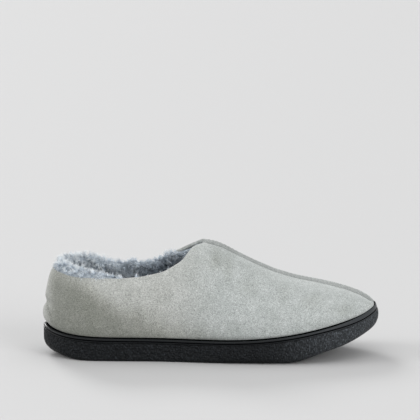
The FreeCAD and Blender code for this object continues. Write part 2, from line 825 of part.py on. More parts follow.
def make_upper():
    """All pieces of the upper."""
    parts = []
    for label, side in SIDES:
        parts.append(make_panel(f"outer_{label}_panel", side))
        parts.append(make_foam(f"{label}_foam_backing", side))
        parts.append(make_lining(f"{label}_lining", side))
        parts.append(make_strip_stitches(f"strip_stitching_{label}", side.sign))
    parts.append(make_strip("centre_strip", 0.0, size["suede_skin"]))
    backing_top = size["suede_skin"] + gap
    parts.append(make_strip("strip_backing", backing_top, backing_top + size["foam_skin"] * 0.5))
    parts.append(make_toe_puff())
    counter_shares = [share for share in PANEL_SHARES if share >= COUNTER_FROM]
    parts.append(wrap_solid("heel_counter", counter_shares, COUNTER_ROWS,
                            STIFFENER_TOP, STIFFENER_BACK))
    parts.append(wrap_solid("back_seam_tape", PANEL_SHARES[-2:], (0.63, 0.70, 0.79, 0.86),
                            STIFFENER_TOP, STIFFENER_TOP + size["tape_skin"]))
    tape_shares = [share for share in PANEL_SHARES if share >= TAPE_FROM]
    parts.append(wrap_solid("topline_tape", tape_shares, (0.925, 0.95, 0.985),
                            FOAM_TOP, FOAM_TOP + size["tape_skin"]))
    parts.append(make_board_stitches())
    return parts


# ---- checks and files ---------------------------------------------------------------------

def check_document(parts):
    """Stop if any object failed, or if a sub-part has no sound shape."""
    for item in doc.Objects:
        if "Invalid" in item.State or "Error" in item.State:
            raise RuntimeError(f"{item.Label} failed: {item.State}")
    for part in parts:
        if part.Shape.isNull() or not part.Shape.isValid() or not part.Shape.Solids:
            raise RuntimeError(f"{part.Label} has no sound shape")


def write_files(parts):
    """Write each sub-part to a file of its own name."""
    os.makedirs("parts", exist_ok=True)
    for part in parts:
        part.Shape.exportStep(f"parts/{part.Label}.step")
        print(f"{part.Label}: {len(part.Shape.Solids)} solids, {part.Shape.Volume:.0f} mm3")


sub_parts = [make_outsole()] + make_footbed() + make_upper()
doc.recompute()
check_document(sub_parts)
write_files(sub_parts)
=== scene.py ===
import math

import bpy
import numpy as np
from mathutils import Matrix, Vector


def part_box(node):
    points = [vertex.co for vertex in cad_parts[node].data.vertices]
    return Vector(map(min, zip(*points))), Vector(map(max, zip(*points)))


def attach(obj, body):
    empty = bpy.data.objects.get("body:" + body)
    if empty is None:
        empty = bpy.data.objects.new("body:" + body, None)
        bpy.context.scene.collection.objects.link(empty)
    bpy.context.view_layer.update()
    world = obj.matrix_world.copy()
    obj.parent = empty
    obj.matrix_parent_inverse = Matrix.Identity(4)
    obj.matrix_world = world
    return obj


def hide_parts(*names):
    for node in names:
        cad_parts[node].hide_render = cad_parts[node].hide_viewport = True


# A fluffy house slipper for the right foot: padded suede side panels around a narrow centre
# strip, a curly fleece lining and a black rubber cup sole. Shapes are worked out in
# millimetres, in the CAD model's frame, and turned into metres when a mesh is made.

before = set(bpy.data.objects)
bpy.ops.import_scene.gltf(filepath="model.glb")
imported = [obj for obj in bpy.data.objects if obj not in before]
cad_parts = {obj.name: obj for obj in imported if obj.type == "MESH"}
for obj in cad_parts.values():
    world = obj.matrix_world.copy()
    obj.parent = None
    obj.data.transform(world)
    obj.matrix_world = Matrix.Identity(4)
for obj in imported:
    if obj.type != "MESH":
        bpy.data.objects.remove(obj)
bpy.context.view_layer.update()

MM = 0.001


# ---- driving sizes, from the CAD nodes

def node_box(name):
    """Lowest and highest corner of a CAD node, in millimetres."""
    low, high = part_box(name)
    return np.array(low) / MM, np.array(high) / MM


sole_low, sole_high = node_box("outsole")
HALF_LENGTH = (sole_high[0] - sole_low[0]) / 2
HALF_WIDTH = (sole_high[1] - sole_low[1]) / 2
TOE_SPRING = HALF_LENGTH * 22.0 / 145.0       # underside of the toe tip above the floor
RIM_HEIGHT = HALF_LENGTH * 18.7 / 145.0       # lowest height of the cup's rim
CUP_WALL = 4.0
WALL_GAP = 0.25
BEAD, TOE_BEAD = 1.7, 3.4                     # height of the smooth bead along the rim
GROOVE = 0.9                                  # groove under the bead
LIP = 0.9                                     # thin inner edge of the rim, above the bead
PEBBLE = 1.9                                  # size of the pebbles on the wall
BOARD_TOP = 10.2                              # insole board above the underside
FOOTBED_TOP = 18.4
HEEL_LIFT = 2.5
PAD = 3.1                                     # suede and its foam together
STRIP_WIDTH = 11.0
SEAM_GAP = 0.06

# Control points of the sole's outline, as shares of half the length and half the width.
OUTLINE_POLES = np.array([
    (-1.0275, 0.0), (-0.945, -0.47), (-0.772, -0.73), (-0.483, -0.73), (-0.207, -0.77),
    (0.138, -0.99), (0.51, -1.03), (0.795, -0.77), (0.978, -0.25), (1.018, 0.23),
    (0.944, 0.72), (0.70, 0.95), (0.38, 1.036), (0.055, 0.89), (-0.24, 0.68),
    (-0.55, 0.665), (-0.81, 0.68), (-0.945, 0.44)])

# Side views: shares of half the length against shares of the toe spring or the rim height.
UNDERSIDE = np.array([
    (-1.04, 0.30), (-0.93, 0.13), (-0.80, 0.0), (0.47, 0.0), (0.575, 0.19),
    (0.652, 0.41), (0.77, 0.58), (0.87, 0.78), (1.04, 1.25)])
RIM = np.array([
    (-1.06, 1.60), (-0.93, 1.183), (-0.70, 1.033), (-0.36, 1.045), (0.0, 1.00), (0.28, 1.078),
    (0.55, 1.365), (0.79, 1.764), (0.95, 2.074), (1.06, 2.484)])
FLAT_HEEL, FLAT_BALL = -0.80, 0.47

# Ridge over the foot, from the throat to the toe: position along the foot and height.
RIDGE = np.array([
    (-6.0, 99.0), (2.0, 98.2), (11.0, 94.6), (26.0, 86.0), (43.0, 77.3), (60.5, 70.4),
    (78.0, 66.0), (95.0, 62.2), (113.0, 57.8), (128.0, 52.9), (138.0, 46.6), (142.2, 42.9)])
RIDGE_SIDE_THROAT, RIDGE_SIDE_TOE = 2.0, 9.0  # where it lies across the foot

# Sections over the foot: share of the way from toe to heel, and where they reach the ridge.
VAMP = np.array([
    (0.018, 142.1), (0.05, 137.8), (0.10, 128.5), (0.15, 116.0), (0.20, 102.0), (0.25, 87.0),
    (0.30, 71.0), (0.35, 54.5), (0.40, 37.5), (0.45, 20.5), (0.48, 8.0), (0.503, -4.0)])
# Sections of the quarters: share of the way, and the point of the topline that they reach.
LATERAL_TOPLINE = np.array([
    (0.520, -5.5, -4.5, 98.2), (0.538, -11.0, -9.5, 97.2), (0.556, -16.5, -14.2, 95.4),
    (0.570, -19.3, -17.2, 92.2), (0.60, -25.5, -22.8, 84.6), (0.65, -41.0, -28.5, 76.0),
    (0.70, -61.0, -31.0, 71.5),
    (0.75, -79.0, -31.5, 70.2), (0.80, -96.0, -30.8, 70.5), (0.85, -111.0, -28.0, 71.8),
    (0.90, -123.5, -21.5, 73.6), (0.95, -132.3, -11.5, 75.8), (1.00, -135.5, 0.0, 77.0)])
MEDIAL_TOPLINE = np.array([
    (0.520, -7.0, 9.5, 98.3), (0.540, -11.5, 13.0, 96.2), (0.565, -18.0, 16.5, 93.0),
    (0.60, -29.0, 21.0, 87.0), (0.65, -45.0, 25.5, 77.2), (0.70, -62.0, 28.0, 72.8),
    (0.75, -79.0, 28.8, 72.4), (0.80, -96.0, 28.4, 72.3), (0.85, -111.0, 26.0, 73.6),
    (0.90, -123.5, 20.0, 75.2), (0.95, -132.3, 10.5, 76.6), (1.00, -135.5, 0.0, 77.0)])
RIM_LEAN_HEEL, RIM_LEAN_SIDE, RIM_LEAN_TOE = 6.5, 8.0, 3.0
COLLAR_ROLL = 5.0


# ---- small tools

def smoothstep(low, high, value):
    """0 below low, 1 above high, and a smooth step between."""
    share = np.clip((np.asarray(value, float) - low) / (high - low), 0, 1)
    return share * share * (3 - 2 * share)


def bump(value, centre, width):
    """1 at a centre, falling smoothly to 0."""
    return np.exp(-((np.asarray(value, float) - centre) / width) ** 2)


def between(low, high, step, value):
    """1 between two values and 0 outside, with a smooth step at each end."""
    return smoothstep(low, low + step, value) * (1 - smoothstep(high - step, high, value))


def unit(vectors):
    """Vectors scaled to length 1."""
    return vectors / np.maximum(np.linalg.norm(vectors, axis=-1, keepdims=True), 1e-9)


def raised(plan, height):
    """Points of a floor plan raised to a height."""
    return np.concatenate([plan, height[..., None]], -1)


def rounded_table(places, values, reach):
    """A table made smooth: returns fine places and the values there, blended over a reach."""
    fine = np.linspace(places[0], places[-1], 1201)
    step = fine[1] - fine[0]
    half = max(int(3 * reach / step), 1)
    kernel = np.exp(-0.5 * (np.arange(-half, half + 1) * step / reach) ** 2)
    kernel /= kernel.sum()
    out = []
    for column in np.atleast_2d(values):
        line = np.interp(fine, places, column)
        ahead = 2 * line[0] - line[1:half + 1][::-1]
        behind = 2 * line[-1] - line[-half - 1:-1][::-1]
        out.append(np.convolve(np.concatenate([ahead, line, behind]), kernel, mode="valid"))
    return fine, np.array(out)


def spline_points(poles, closed, count):
    """Points along a cubic B-spline with evenly spaced knots."""
    if closed:
        ring = np.concatenate([poles[-1:], poles, poles[:2]])
        spans = len(poles)
    else:
        first, last = poles[:1], poles[-1:]
        ring = np.concatenate([2 * first - poles[1:2], poles, 2 * last - poles[-2:-1]])
        spans = len(poles) - 1
    place = np.linspace(0, spans, count, endpoint=not closed)
    span = np.minimum(place.astype(int), spans - 1)
    t = (place - span)[:, None]
    a, b, c, d = (ring[span + k] for k in range(4))
    return ((1 - t) ** 3 * a + (3 * t ** 3 - 6 * t ** 2 + 4) * b
            + (-3 * t ** 3 + 3 * t ** 2 + 3 * t + 1) * c + t ** 3 * d) / 6


def hashed(*cells):
    """Repeatable random numbers from 0 to 1 for whole-number cells."""
    mixed = np.zeros(np.broadcast(*cells).shape, np.uint64)
    for number, cell in enumerate(cells):
        mixed = mixed + (np.asarray(cell).astype(np.int64).astype(np.uint64)
                         * np.uint64((0x9E3779B97F4A7C15 + 2 * number * 0x632BE59BD9B4E019)
                                     % 2 ** 64))
        mixed ^= mixed >> np.uint64(29)
        mixed = mixed * np.uint64(0xBF58476D1CE4E5B9)
        mixed ^= mixed >> np.uint64(32)
    return (mixed >> np.uint64(11)).astype(float) / float(1 << 53)


def value_noise(points, size, seed):
    """Smooth noise from -1 to 1 in space, with lumps of about a size."""
    place = np.asarray(points) / size
    cell = np.floor(place)
    part = place - cell
    part = part * part * (3 - 2 * part)
    total = np.zeros(place.shape[:-1])
    for corner in np.ndindex(2, 2, 2):
        weight = np.ones(place.shape[:-1])
        for axis in range(3):
            share = part[..., axis]
            weight = weight * (share if corner[axis] else 1 - share)
        total += weight * hashed(cell[..., 0] + corner[0], cell[..., 1] + corner[1],
                                 cell[..., 2] + corner[2], np.int64(seed))
    return total * 2 - 1


def pebbles(along, up, size, seed):
    """Height from 0 to 1 of a pattern of rounded pebbles on a surface."""
    x, y = along / size, up / size
    cell_x, cell_y = np.floor(x), np.floor(y)
    first = np.full(x.shape, 9.0)
    second = np.full(x.shape, 9.0)
    for step_x in (-1, 0, 1):
        for step_y in (-1, 0, 1):
            near_x, near_y = cell_x + step_x, cell_y + step_y
            seed_x = near_x + 0.15 + 0.7 * hashed(near_x, near_y, np.int64(seed))
            seed_y = near_y + 0.15 + 0.7 * hashed(near_x, near_y, np.int64(seed + 1))
            distance = np.hypot(x - seed_x, y - seed_y)
            second = np.minimum(second, np.maximum(distance, first))
            first = np.minimum(first, distance)
    return smoothstep(0.0, 0.42, second - first)


# ---- the outline and the sole's heights

OUTLINE_COUNT = 4000
outline = spline_points(OUTLINE_POLES * (HALF_LENGTH, HALF_WIDTH), True, OUTLINE_COUNT)
outline_step = np.linalg.norm(np.roll(outline, -1, 0) - outline, axis=1)
outline_run = np.concatenate([[0], np.cumsum(outline_step)])
OUTLINE_LENGTH = outline_run[-1]


def outline_at(run):
    """Points of the outline and inward normals, by distance along it from its first point."""
    run = np.asarray(run, float) % OUTLINE_LENGTH
    closed = np.concatenate([outline, outline[:1]])
    point = np.stack([np.interp(run, outline_run, closed[:, k]) for k in (0, 1)], -1)
    nudge = 2.0
    ahead, behind = (run + nudge) % OUTLINE_LENGTH, (run - nudge) % OUTLINE_LENGTH
    tangent = np.stack([np.interp(ahead, outline_run, closed[:, k])
                        - np.interp(behind, outline_run, closed[:, k]) for k in (0, 1)], -1)
    return point, unit(np.stack([-tangent[..., 1], tangent[..., 0]], -1))


TOE_RUN = outline_run[outline[:, 0].argmax()]
HEEL_RUN = outline_run[outline[:, 0].argmin()]

under_places, (under_heights,) = rounded_table(
    UNDERSIDE[:, 0] * HALF_LENGTH, UNDERSIDE[:, 1] * TOE_SPRING, 6.0)
rim_line = spline_points(RIM * (HALF_LENGTH, RIM_HEIGHT), False, 400)


def underside(x):
    """Height of the cup's underside."""
    return np.interp(x, under_places, under_heights)


def rim_top(x):
    """Height of the cup's rim."""
    return np.interp(x, rim_line[:, 0], rim_line[:, 1])


def heel_lift(x):
    """How much the midsole lifts the layers above it."""
    return HEEL_LIFT * np.clip((FLAT_BALL - x / HALF_LENGTH) / (FLAT_BALL - FLAT_HEEL), 0, 1)


# ---- the upper's surface

ridge_places, (ridge_heights,) = rounded_table(RIDGE[:, 0], RIDGE[:, 1], 4.0)


def ridge_side(x):
    """The ridge's position across the foot."""
    share = (x - RIDGE[0, 0]) / (RIDGE[-1, 0] - RIDGE[0, 0])
    return RIDGE_SIDE_THROAT + (RIDGE_SIDE_TOE - RIDGE_SIDE_THROAT) * share


def ridge_height(x):
    """Height of the ridge over the foot."""
    return np.interp(x, ridge_places, ridge_heights)


class Side:
    """One side of the upper. A section's share runs from 0 at the toe to 1 at the heel."""

    def __init__(self, sign, topline):
        self.sign = sign
        self.length = sign * (HEEL_RUN - TOE_RUN) % OUTLINE_LENGTH
        shares = np.concatenate([VAMP[:, 0], topline[:, 0]])
        x = np.concatenate([VAMP[:, 1], topline[:, 1]])
        y = np.concatenate([ridge_side(VAMP[:, 1]), topline[:, 2]])
        z = np.concatenate([ridge_height(VAMP[:, 1]), topline[:, 3]])
        self.shares, self.targets = rounded_table(shares, np.array([x, y, z]), 0.006)

    def base(self, share):
        """Points of the outline and inward normals."""
        return outline_at(TOE_RUN + self.sign * np.asarray(share) * self.length)

    def controls(self, share):
        """Foot of the stretch inside the cup, and the four control points of each section."""
        edge, inward = self.base(share)
        rim = raised(edge + inward * (CUP_WALL + WALL_GAP), rim_top(edge[..., 0]) - 1.0)
        foot = rim.copy()
        foot[..., 2] = underside(rim[..., 0]) + BOARD_TOP + heel_lift(rim[..., 0]) + 0.3
        top = np.stack([np.interp(share, self.shares, column) for column in self.targets], -1)
        rise = top[..., 2] - rim[..., 2]
        across = (rim - top) * (1, 1, 0)
        width = np.linalg.norm(across, axis=-1)
        quarter = smoothstep(0.45, 0.63, share)
        lean = RIM_LEAN_TOE + (RIM_LEAN_SIDE - RIM_LEAN_TOE) * smoothstep(0.0, 0.12, share)
        lean = lean + (RIM_LEAN_HEEL - RIM_LEAN_SIDE) * smoothstep(0.5, 0.9, share)
        lean = np.minimum(lean, rise * 0.8)
        lower = rim - raised(inward, np.zeros(rise.shape)) * lean[..., None]
        lower[..., 2] += rise * (0.42 - 0.17 * quarter)
        outward = width * (0.5 + 0.5 * quarter) + COLLAR_ROLL * quarter
        upper = top + unit(across) * outward[..., None]
        upper[..., 2] -= rise * 0.2 * quarter
        return foot, rim, lower, upper, top

    def surface(self, share, row):
        """Points of the outer surface. Rows below 0 are in the cup, and above 1 past the edge."""
        foot, rim, lower, upper, top = self.controls(share)
        row = np.asarray(row, float)[..., None]
        s = np.clip(row, 0, 1)
        curve = (rim * (1 - s) ** 3 + lower * 3 * s * (1 - s) ** 2
                 + upper * 3 * s ** 2 * (1 - s) + top * s ** 3)
        past = np.maximum(row - 1, 0)
        curve = curve + (top - upper) * 1.8 * past
        curve[..., 2] += 14 * past[..., 0]
        down = np.clip(-row, 0, 1)
        return curve + (foot - rim) * down

    def normal(self, share, row):
        """Directions into the slipper."""
        nudge = 0.004
        along = (self.surface(np.minimum(share + nudge, 1), row)
                 - self.surface(np.maximum(share - nudge, 0), row))
        low = np.where(row < 0.03, row, row - 0.02)
        up = self.surface(share, low + 0.02) - self.surface(share, low)
        return unit(np.cross(along, up) * -self.sign)

    def edge_row(self, share, clear):
        """The row where each section comes within a distance of the ridge's middle line."""
        share = np.asarray(share, float)
        low, high = np.zeros(share.shape), np.ones(share.shape)
        for _ in range(22):
            middle = (low + high) / 2
            point = self.surface(share, middle)
            outside = self.sign * (point[..., 1] - ridge_side(point[..., 0])) > clear
            low = np.where(outside, middle, low)
            high = np.where(outside, high, middle)
        return np.maximum(low, 0.12)


lateral = Side(-1, LATERAL_TOPLINE)
medial = Side(1, MEDIAL_TOPLINE)


# ---- meshes

def add_object(name, data):
    """A new object in the scene."""
    made = bpy.data.objects.new(name, data)
    bpy.context.scene.collection.objects.link(made)
    return made


def make_object(name, points, faces, material):
    """A mesh object from points in millimetres and an array of faces with equal sides."""
    mesh = bpy.data.meshes.new(name)
    points = np.ascontiguousarray(points, np.float32) * MM
    faces = np.ascontiguousarray(faces, np.int32)
    sides = faces.shape[1]
    mesh.vertices.add(len(points))
    mesh.vertices.foreach_set("co", points.ravel())
    mesh.loops.add(faces.size)
    mesh.loops.foreach_set("vertex_index", faces.ravel())
    mesh.polygons.add(len(faces))
    mesh.polygons.foreach_set("loop_start", np.arange(len(faces), dtype=np.int32) * sides)
    mesh.polygons.foreach_set("use_smooth", np.ones(len(faces), bool))
    mesh.update(calc_edges=True)
    mesh.validate()
    mesh.materials.append(material)
    return add_object(name, mesh)


def add_attribute(piece, name, values):
    """A number at each point of a mesh, for its material."""
    layer = piece.data.attributes.new(name, "FLOAT", "POINT")
    layer.data.foreach_set("value", np.ascontiguousarray(values, np.float32))


def grid_faces(columns, rows, close_columns=False, close_rows=False, flip=False):
    """Quads over a grid of points stored column by column."""
    u = np.arange(columns if close_columns else columns - 1)
    v = np.arange(rows if close_rows else rows - 1)
    u, v = (a.ravel() for a in np.meshgrid(u, v, indexing="ij"))
    u2, v2 = (u + 1) % columns, (v + 1) % rows
    quads = np.stack([u * rows + v, u2 * rows + v, u2 * rows + v2, u * rows + v2], -1)
    return quads[:, ::-1] if flip else quads


def cap_faces(ring, flip):
    """Quads that close a ring of points of even length, folded across its middle."""
    count = len(ring)
    half = count // 2
    low = np.arange(half - 1)
    quads = np.stack([ring[low], ring[low + 1], ring[count - 2 - low], ring[count - 1 - low]], -1)
    return quads[:, ::-1] if flip else quads


def make_shell(name, rings, material, flip):
    """A closed shell from rings of points, one ring to a column, with a cap at each end."""
    columns, count = rings.shape[:2]
    first = np.arange(count)
    faces = np.concatenate([grid_faces(columns, count, close_rows=True, flip=flip),
                            cap_faces(first, flip=not flip),
                            cap_faces((columns - 1) * count + first, flip=flip)])
    return make_object(name, rings.reshape(-1, 3), faces, material)


def settle(piece, slot, *nodes):
    """A piece rides on the only body and stands for its CAD nodes; the slot is not used."""
    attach(piece, "root")
    if nodes:
        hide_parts(*nodes)


# ---- materials

def neutral(level):
    """A colour without a hue."""
    return (level, level, level)


class Shader:
    """A node material with a principled shader, built step by step."""

    def __init__(self, name, roughness, **settings):
        self.material = bpy.data.materials.new(name)
        self.material.use_nodes = True
        self.tree = self.material.node_tree
        self.shader = self.tree.nodes["Principled BSDF"]
        self.set(Roughness=roughness, **settings)
        self.place = self.node("ShaderNodeTexCoord", {}).outputs["Object"]

    def node(self, kind, inputs, **settings):
        """A new node, with its settings and its inputs by name or number."""
        made = self.tree.nodes.new(kind)
        for setting, value in settings.items():
            setattr(made, setting, value)
        for socket, value in inputs.items():
            self.feed(made.inputs[socket], value)
        return made

    def feed(self, socket, value):
        """Connect an input to a socket, or set it to a colour or a number."""
        if isinstance(value, bpy.types.NodeSocket):
            self.tree.links.new(value, socket)
        elif socket.type == "RGBA":
            socket.default_value = (*value, 1.0)
        else:
            socket.default_value = value

    def set(self, **inputs):
        """Connect or set inputs of the principled shader."""
        for name, value in inputs.items():
            self.feed(self.shader.inputs[name.replace("_", " ")], value)

    def noise(self, size_mm, detail, roughness=0.5, stretch=(1, 1, 1)):
        """Noise in space with lumps of about a size, stretched along an axis if asked."""
        mapping = self.node("ShaderNodeMapping", {"Scale": stretch, "Vector": self.place})
        inputs = {"Scale": 1.0 / (size_mm * MM), "Detail": detail, "Roughness": roughness,
                  "Vector": mapping.outputs["Vector"]}
        return self.node("ShaderNodeTexNoise", inputs).outputs["Fac"]

    def attribute(self, name):
        """A number that the mesh holds at each point."""
        return self.node("ShaderNodeAttribute", {}, attribute_name=name).outputs["Fac"]

    def voronoi(self, size_mm):
        """Distance to the middle of the nearest cell, for cells of about a size."""
        inputs = {"Scale": 1.0 / (size_mm * MM), "Vector": self.place}
        return self.node("ShaderNodeTexVoronoi", inputs).outputs["Distance"]

    def ramp(self, source, stops):
        """A colour ramp: (place, colour) stops."""
        made = self.node("ShaderNodeValToRGB", {"Fac": source})
        ramp = made.color_ramp
        while len(ramp.elements) < len(stops):
            ramp.elements.new(0.5)
        for element, (place, colour) in zip(ramp.elements, stops):
            element.position = place
            element.color = (*colour, 1.0)
        return made.outputs["Color"]

    def mix(self, share, first, second, blend="MIX"):
        """Mix two colours; each is a socket or a colour, and the share a socket or a number."""
        made = self.node("ShaderNodeMix", {0: share, 6: first, 7: second},
                         data_type="RGBA", blend_type=blend)
        return made.outputs[2]

    def multiply(self, first, second):
        """One colour times another."""
        return self.mix(1.0, first, second, "MULTIPLY")

    def math(self, operation, first, second):
        """Arithmetic on two values, each a socket or a number."""
        return self.node("ShaderNodeMath", {0: first, 1: second}, operation=operation).outputs[0]

    def bump(self, layers):
        """Bump from (height socket, depth in mm) layers, one on top of another."""
        below = {}
        for height, depth_mm in layers:
            inputs = {"Strength": 1.0, "Distance": depth_mm * MM, "Height": height, **below}
            below = {"Normal": self.node("ShaderNodeBump", inputs).outputs["Normal"]}
        self.set(**below)


def suede_material(name, shade):
    """Brushed microfibre: short pile, softly mottled where it has been brushed another way, with
    painted shade low on the heel and in small wrinkles near the throat.
    """
    made = Shader(name, 0.95, Sheen_Weight=0.22, Sheen_Roughness=0.4, Specular_IOR_Level=0.15)
    grey = tuple(shade * v for v in (0.440, 0.466, 0.458))
    light = tuple(shade * v for v in (0.482, 0.508, 0.500))
    dark = tuple(shade * v for v in (0.385, 0.410, 0.400))
    broad = made.noise(22.0, 3.0, 0.6)
    brushed = made.noise(6.0, 4.0, 0.62, stretch=(1.0, 1.0, 0.4))
    lumps = made.noise(2.3, 2.0, 0.6)
    grain = made.noise(0.85, 2.0, 0.75)
    base = made.ramp(broad, ((0.33, dark), (0.50, grey), (0.68, light)))
    base = made.mix(0.45, base, made.ramp(brushed, ((0.36, dark), (0.5, grey), (0.64, light))))
    speck = made.ramp(grain, ((0.34, neutral(0.64)), (0.5, neutral(1.0)), (0.66, neutral(1.32))))
    base = made.multiply(base, speck)
    crumple = made.ramp(lumps, ((0.36, neutral(0.94)), (0.5, neutral(1.0)), (0.64, neutral(1.05))))
    base = made.multiply(base, crumple)
    # Painted shade: this attribute darkens the suede, towards olive, low on the heel and in
    # wrinkles near the throat.
    nap_and_shade = made.attribute("nap_and_shade")
    lie_and_shade = made.ramp(nap_and_shade, ((0.0, (0.43, 0.44, 0.40)), (0.5, (0.72, 0.72, 0.69)),
                          (1.0, neutral(1.0))))
    base = made.multiply(base, lie_and_shade)
    warmth = made.attribute("warmth")
    made.set(Base_Color=made.mix(warmth, base, made.multiply(base, (1.035, 1.0, 0.975))))
    made.bump(((broad, 0.6), (brushed, 0.35), (lumps, 0.30), (grain, 0.28)))
    return made.material


def fleece_material():
    """Curly fleece fibres, painted dark at the root and pale at the tip: the dark roots are
    painted shade between the curls.
    """
    made = Shader("fleece", 0.9, Sheen_Weight=0.25, Sheen_Roughness=0.5, Specular_IOR_Level=0.15)
    tip = made.attribute("tip")
    shade = made.attribute("shade")
    # Painted shade: darker towards the root of each fibre.
    length = made.ramp(tip, ((0.0, (0.34, 0.40, 0.47)), (0.42, (0.77, 0.85, 0.93)),
                             (1.0, (0.97, 0.99, 0.99))))
    strand = made.ramp(shade, ((0.0, (0.62, 0.63, 0.66)), (0.5, (0.96, 0.97, 0.98)),
                               (1.0, (1.10, 1.10, 1.09))))
    made.set(Base_Color=made.multiply(length, strand))
    return made.material


def backing_material():
    """The cloth under the fleece's pile, seen only between the curls, painted darker than the pile
    as the shade there.
    """
    made = Shader("fleece_backing", 0.95, Specular_IOR_Level=0.1)
    lumps = made.noise(2.2, 4.0, 0.7)
    made.set(Base_Color=made.ramp(lumps, ((0.30, (0.24, 0.28, 0.32)), (0.60, (0.44, 0.49, 0.54)),
                                  (0.80, (0.52, 0.56, 0.58)))))
    made.bump(((lumps, 1.2), (made.noise(0.6, 3.0), 0.3)))
    return made.material


def rubber_material():
    """Moulded black rubber, pebbled on the wall, painted lighter towards the toe, where it faces
    the light.
    """
    made = Shader("rubber", 0.5, Specular_IOR_Level=0.16)
    wall = made.attribute("wall")
    wall = made.math("MAXIMUM", wall, 0.0)
    toe_light = made.attribute("toe_light")
    cells = made.voronoi(2.1)
    fine = made.noise(1.5, 3.0, 0.7, stretch=(1.5, 1.5, 0.75))
    pebble = made.math("MULTIPLY", made.math("SUBTRACT", 1.0, cells), wall)
    tint = made.ramp(fine, ((0.38, (0.0035, 0.0045, 0.0055)), (0.62, (0.0105, 0.012, 0.0135))))
    toe_lit_tint = made.ramp(fine, ((0.38, (0.018, 0.021, 0.024)), (0.62, (0.056, 0.061, 0.066))))
    # Painted light: lighter towards the toe, which faces the light.
    base = made.mix(toe_light, tint, toe_lit_tint)
    # Lighter specks on the pebbled wall, where the fine noise is high.
    pale_specks = made.ramp(made.math("MULTIPLY", fine, wall),
                     ((0.54, neutral(1.0)), (0.68, (2.3, 2.4, 2.5))))
    made.set(Base_Color=made.multiply(base, pale_specks))
    made.set(Roughness=made.ramp(wall, ((0.0, neutral(0.34)), (1.0, neutral(0.46)))))
    made.bump(((pebble, 1.2), (made.math("MULTIPLY", fine, wall), 0.6)))
    return made.material


def bead_material():
    """The smooth bead along the rim: the same rubber, glossier, painted lighter towards the toe
    where it faces the light, and painted black in its crevices as shade.
    """
    made = Shader("rubber_bead", 0.40, Specular_IOR_Level=0.30)
    wall = made.attribute("wall")
    crevice = made.math("MULTIPLY", wall, -1.0)
    toe_light = made.attribute("toe_light")
    # Painted light: lighter towards the toe, which faces the light.
    smooth = made.mix(toe_light, (0.0075, 0.0090, 0.0105), (0.030, 0.034, 0.038))
    # Painted shade: the crevice rows are near black.
    made.set(Base_Color=made.mix(crevice, smooth, (0.0012, 0.0014, 0.0016)))
    made.bump(((made.noise(0.7, 2.0), 0.04),))
    return made.material


def crevice_material():
    """Painted shade in the crevices above and below the bead, where hardly any light gets in: the
    rubber made darker and without gloss.
    """
    made = Shader("rubber_crevice", 1.0, Specular_IOR_Level=0.0)
    made.set(Base_Color=made.ramp(made.noise(1.0, 2.0), ((0.3, (0.0015, 0.0018, 0.002)),
                                                 (0.7, (0.003, 0.0035, 0.004)))))
    return made.material


def thread_material():
    """Twisted sewing thread, a shade darker than the suede."""
    made = Shader("thread", 0.8, Sheen_Weight=0.1)
    twist = made.noise(0.3, 2.0)
    made.set(Base_Color=made.ramp(twist, ((0.3, (0.26, 0.27, 0.265)), (0.7, (0.34, 0.35, 0.34)))))
    made.bump(((twist, 0.05),))
    return made.material


def hidden_material(name, first, second, size_mm):
    """Foam, board and tape inside the slipper, mottled between two colours."""
    made = Shader(name, 0.9)
    cells = made.noise(size_mm, 3.0, 0.6)
    made.set(Base_Color=made.ramp(cells, ((0.35, first), (0.65, second))))
    made.bump(((cells, 0.15),))
    return made.material


SUEDE_MATERIAL = suede_material("suede", 1.0)
# Painted shade: the strip is a darker copy of the suede, for its duller look in the valley between
# the panels.
STRIP_MATERIAL = suede_material("strip_suede", 0.72)
FLEECE_MATERIAL = fleece_material()
BACKING_MATERIAL = backing_material()
RUBBER_MATERIAL = rubber_material()
BEAD_MATERIAL = bead_material()
CREVICE_MATERIAL = crevice_material()
THREAD_MATERIAL = thread_material()


# ---- outsole

CUP_FLOOR = 5.0                 # inside of the cup above its underside
PEBBLE_DEPTH = 0.34
FIRST_RIM_ROW = 3               # the section's rows before it are down inside the cup


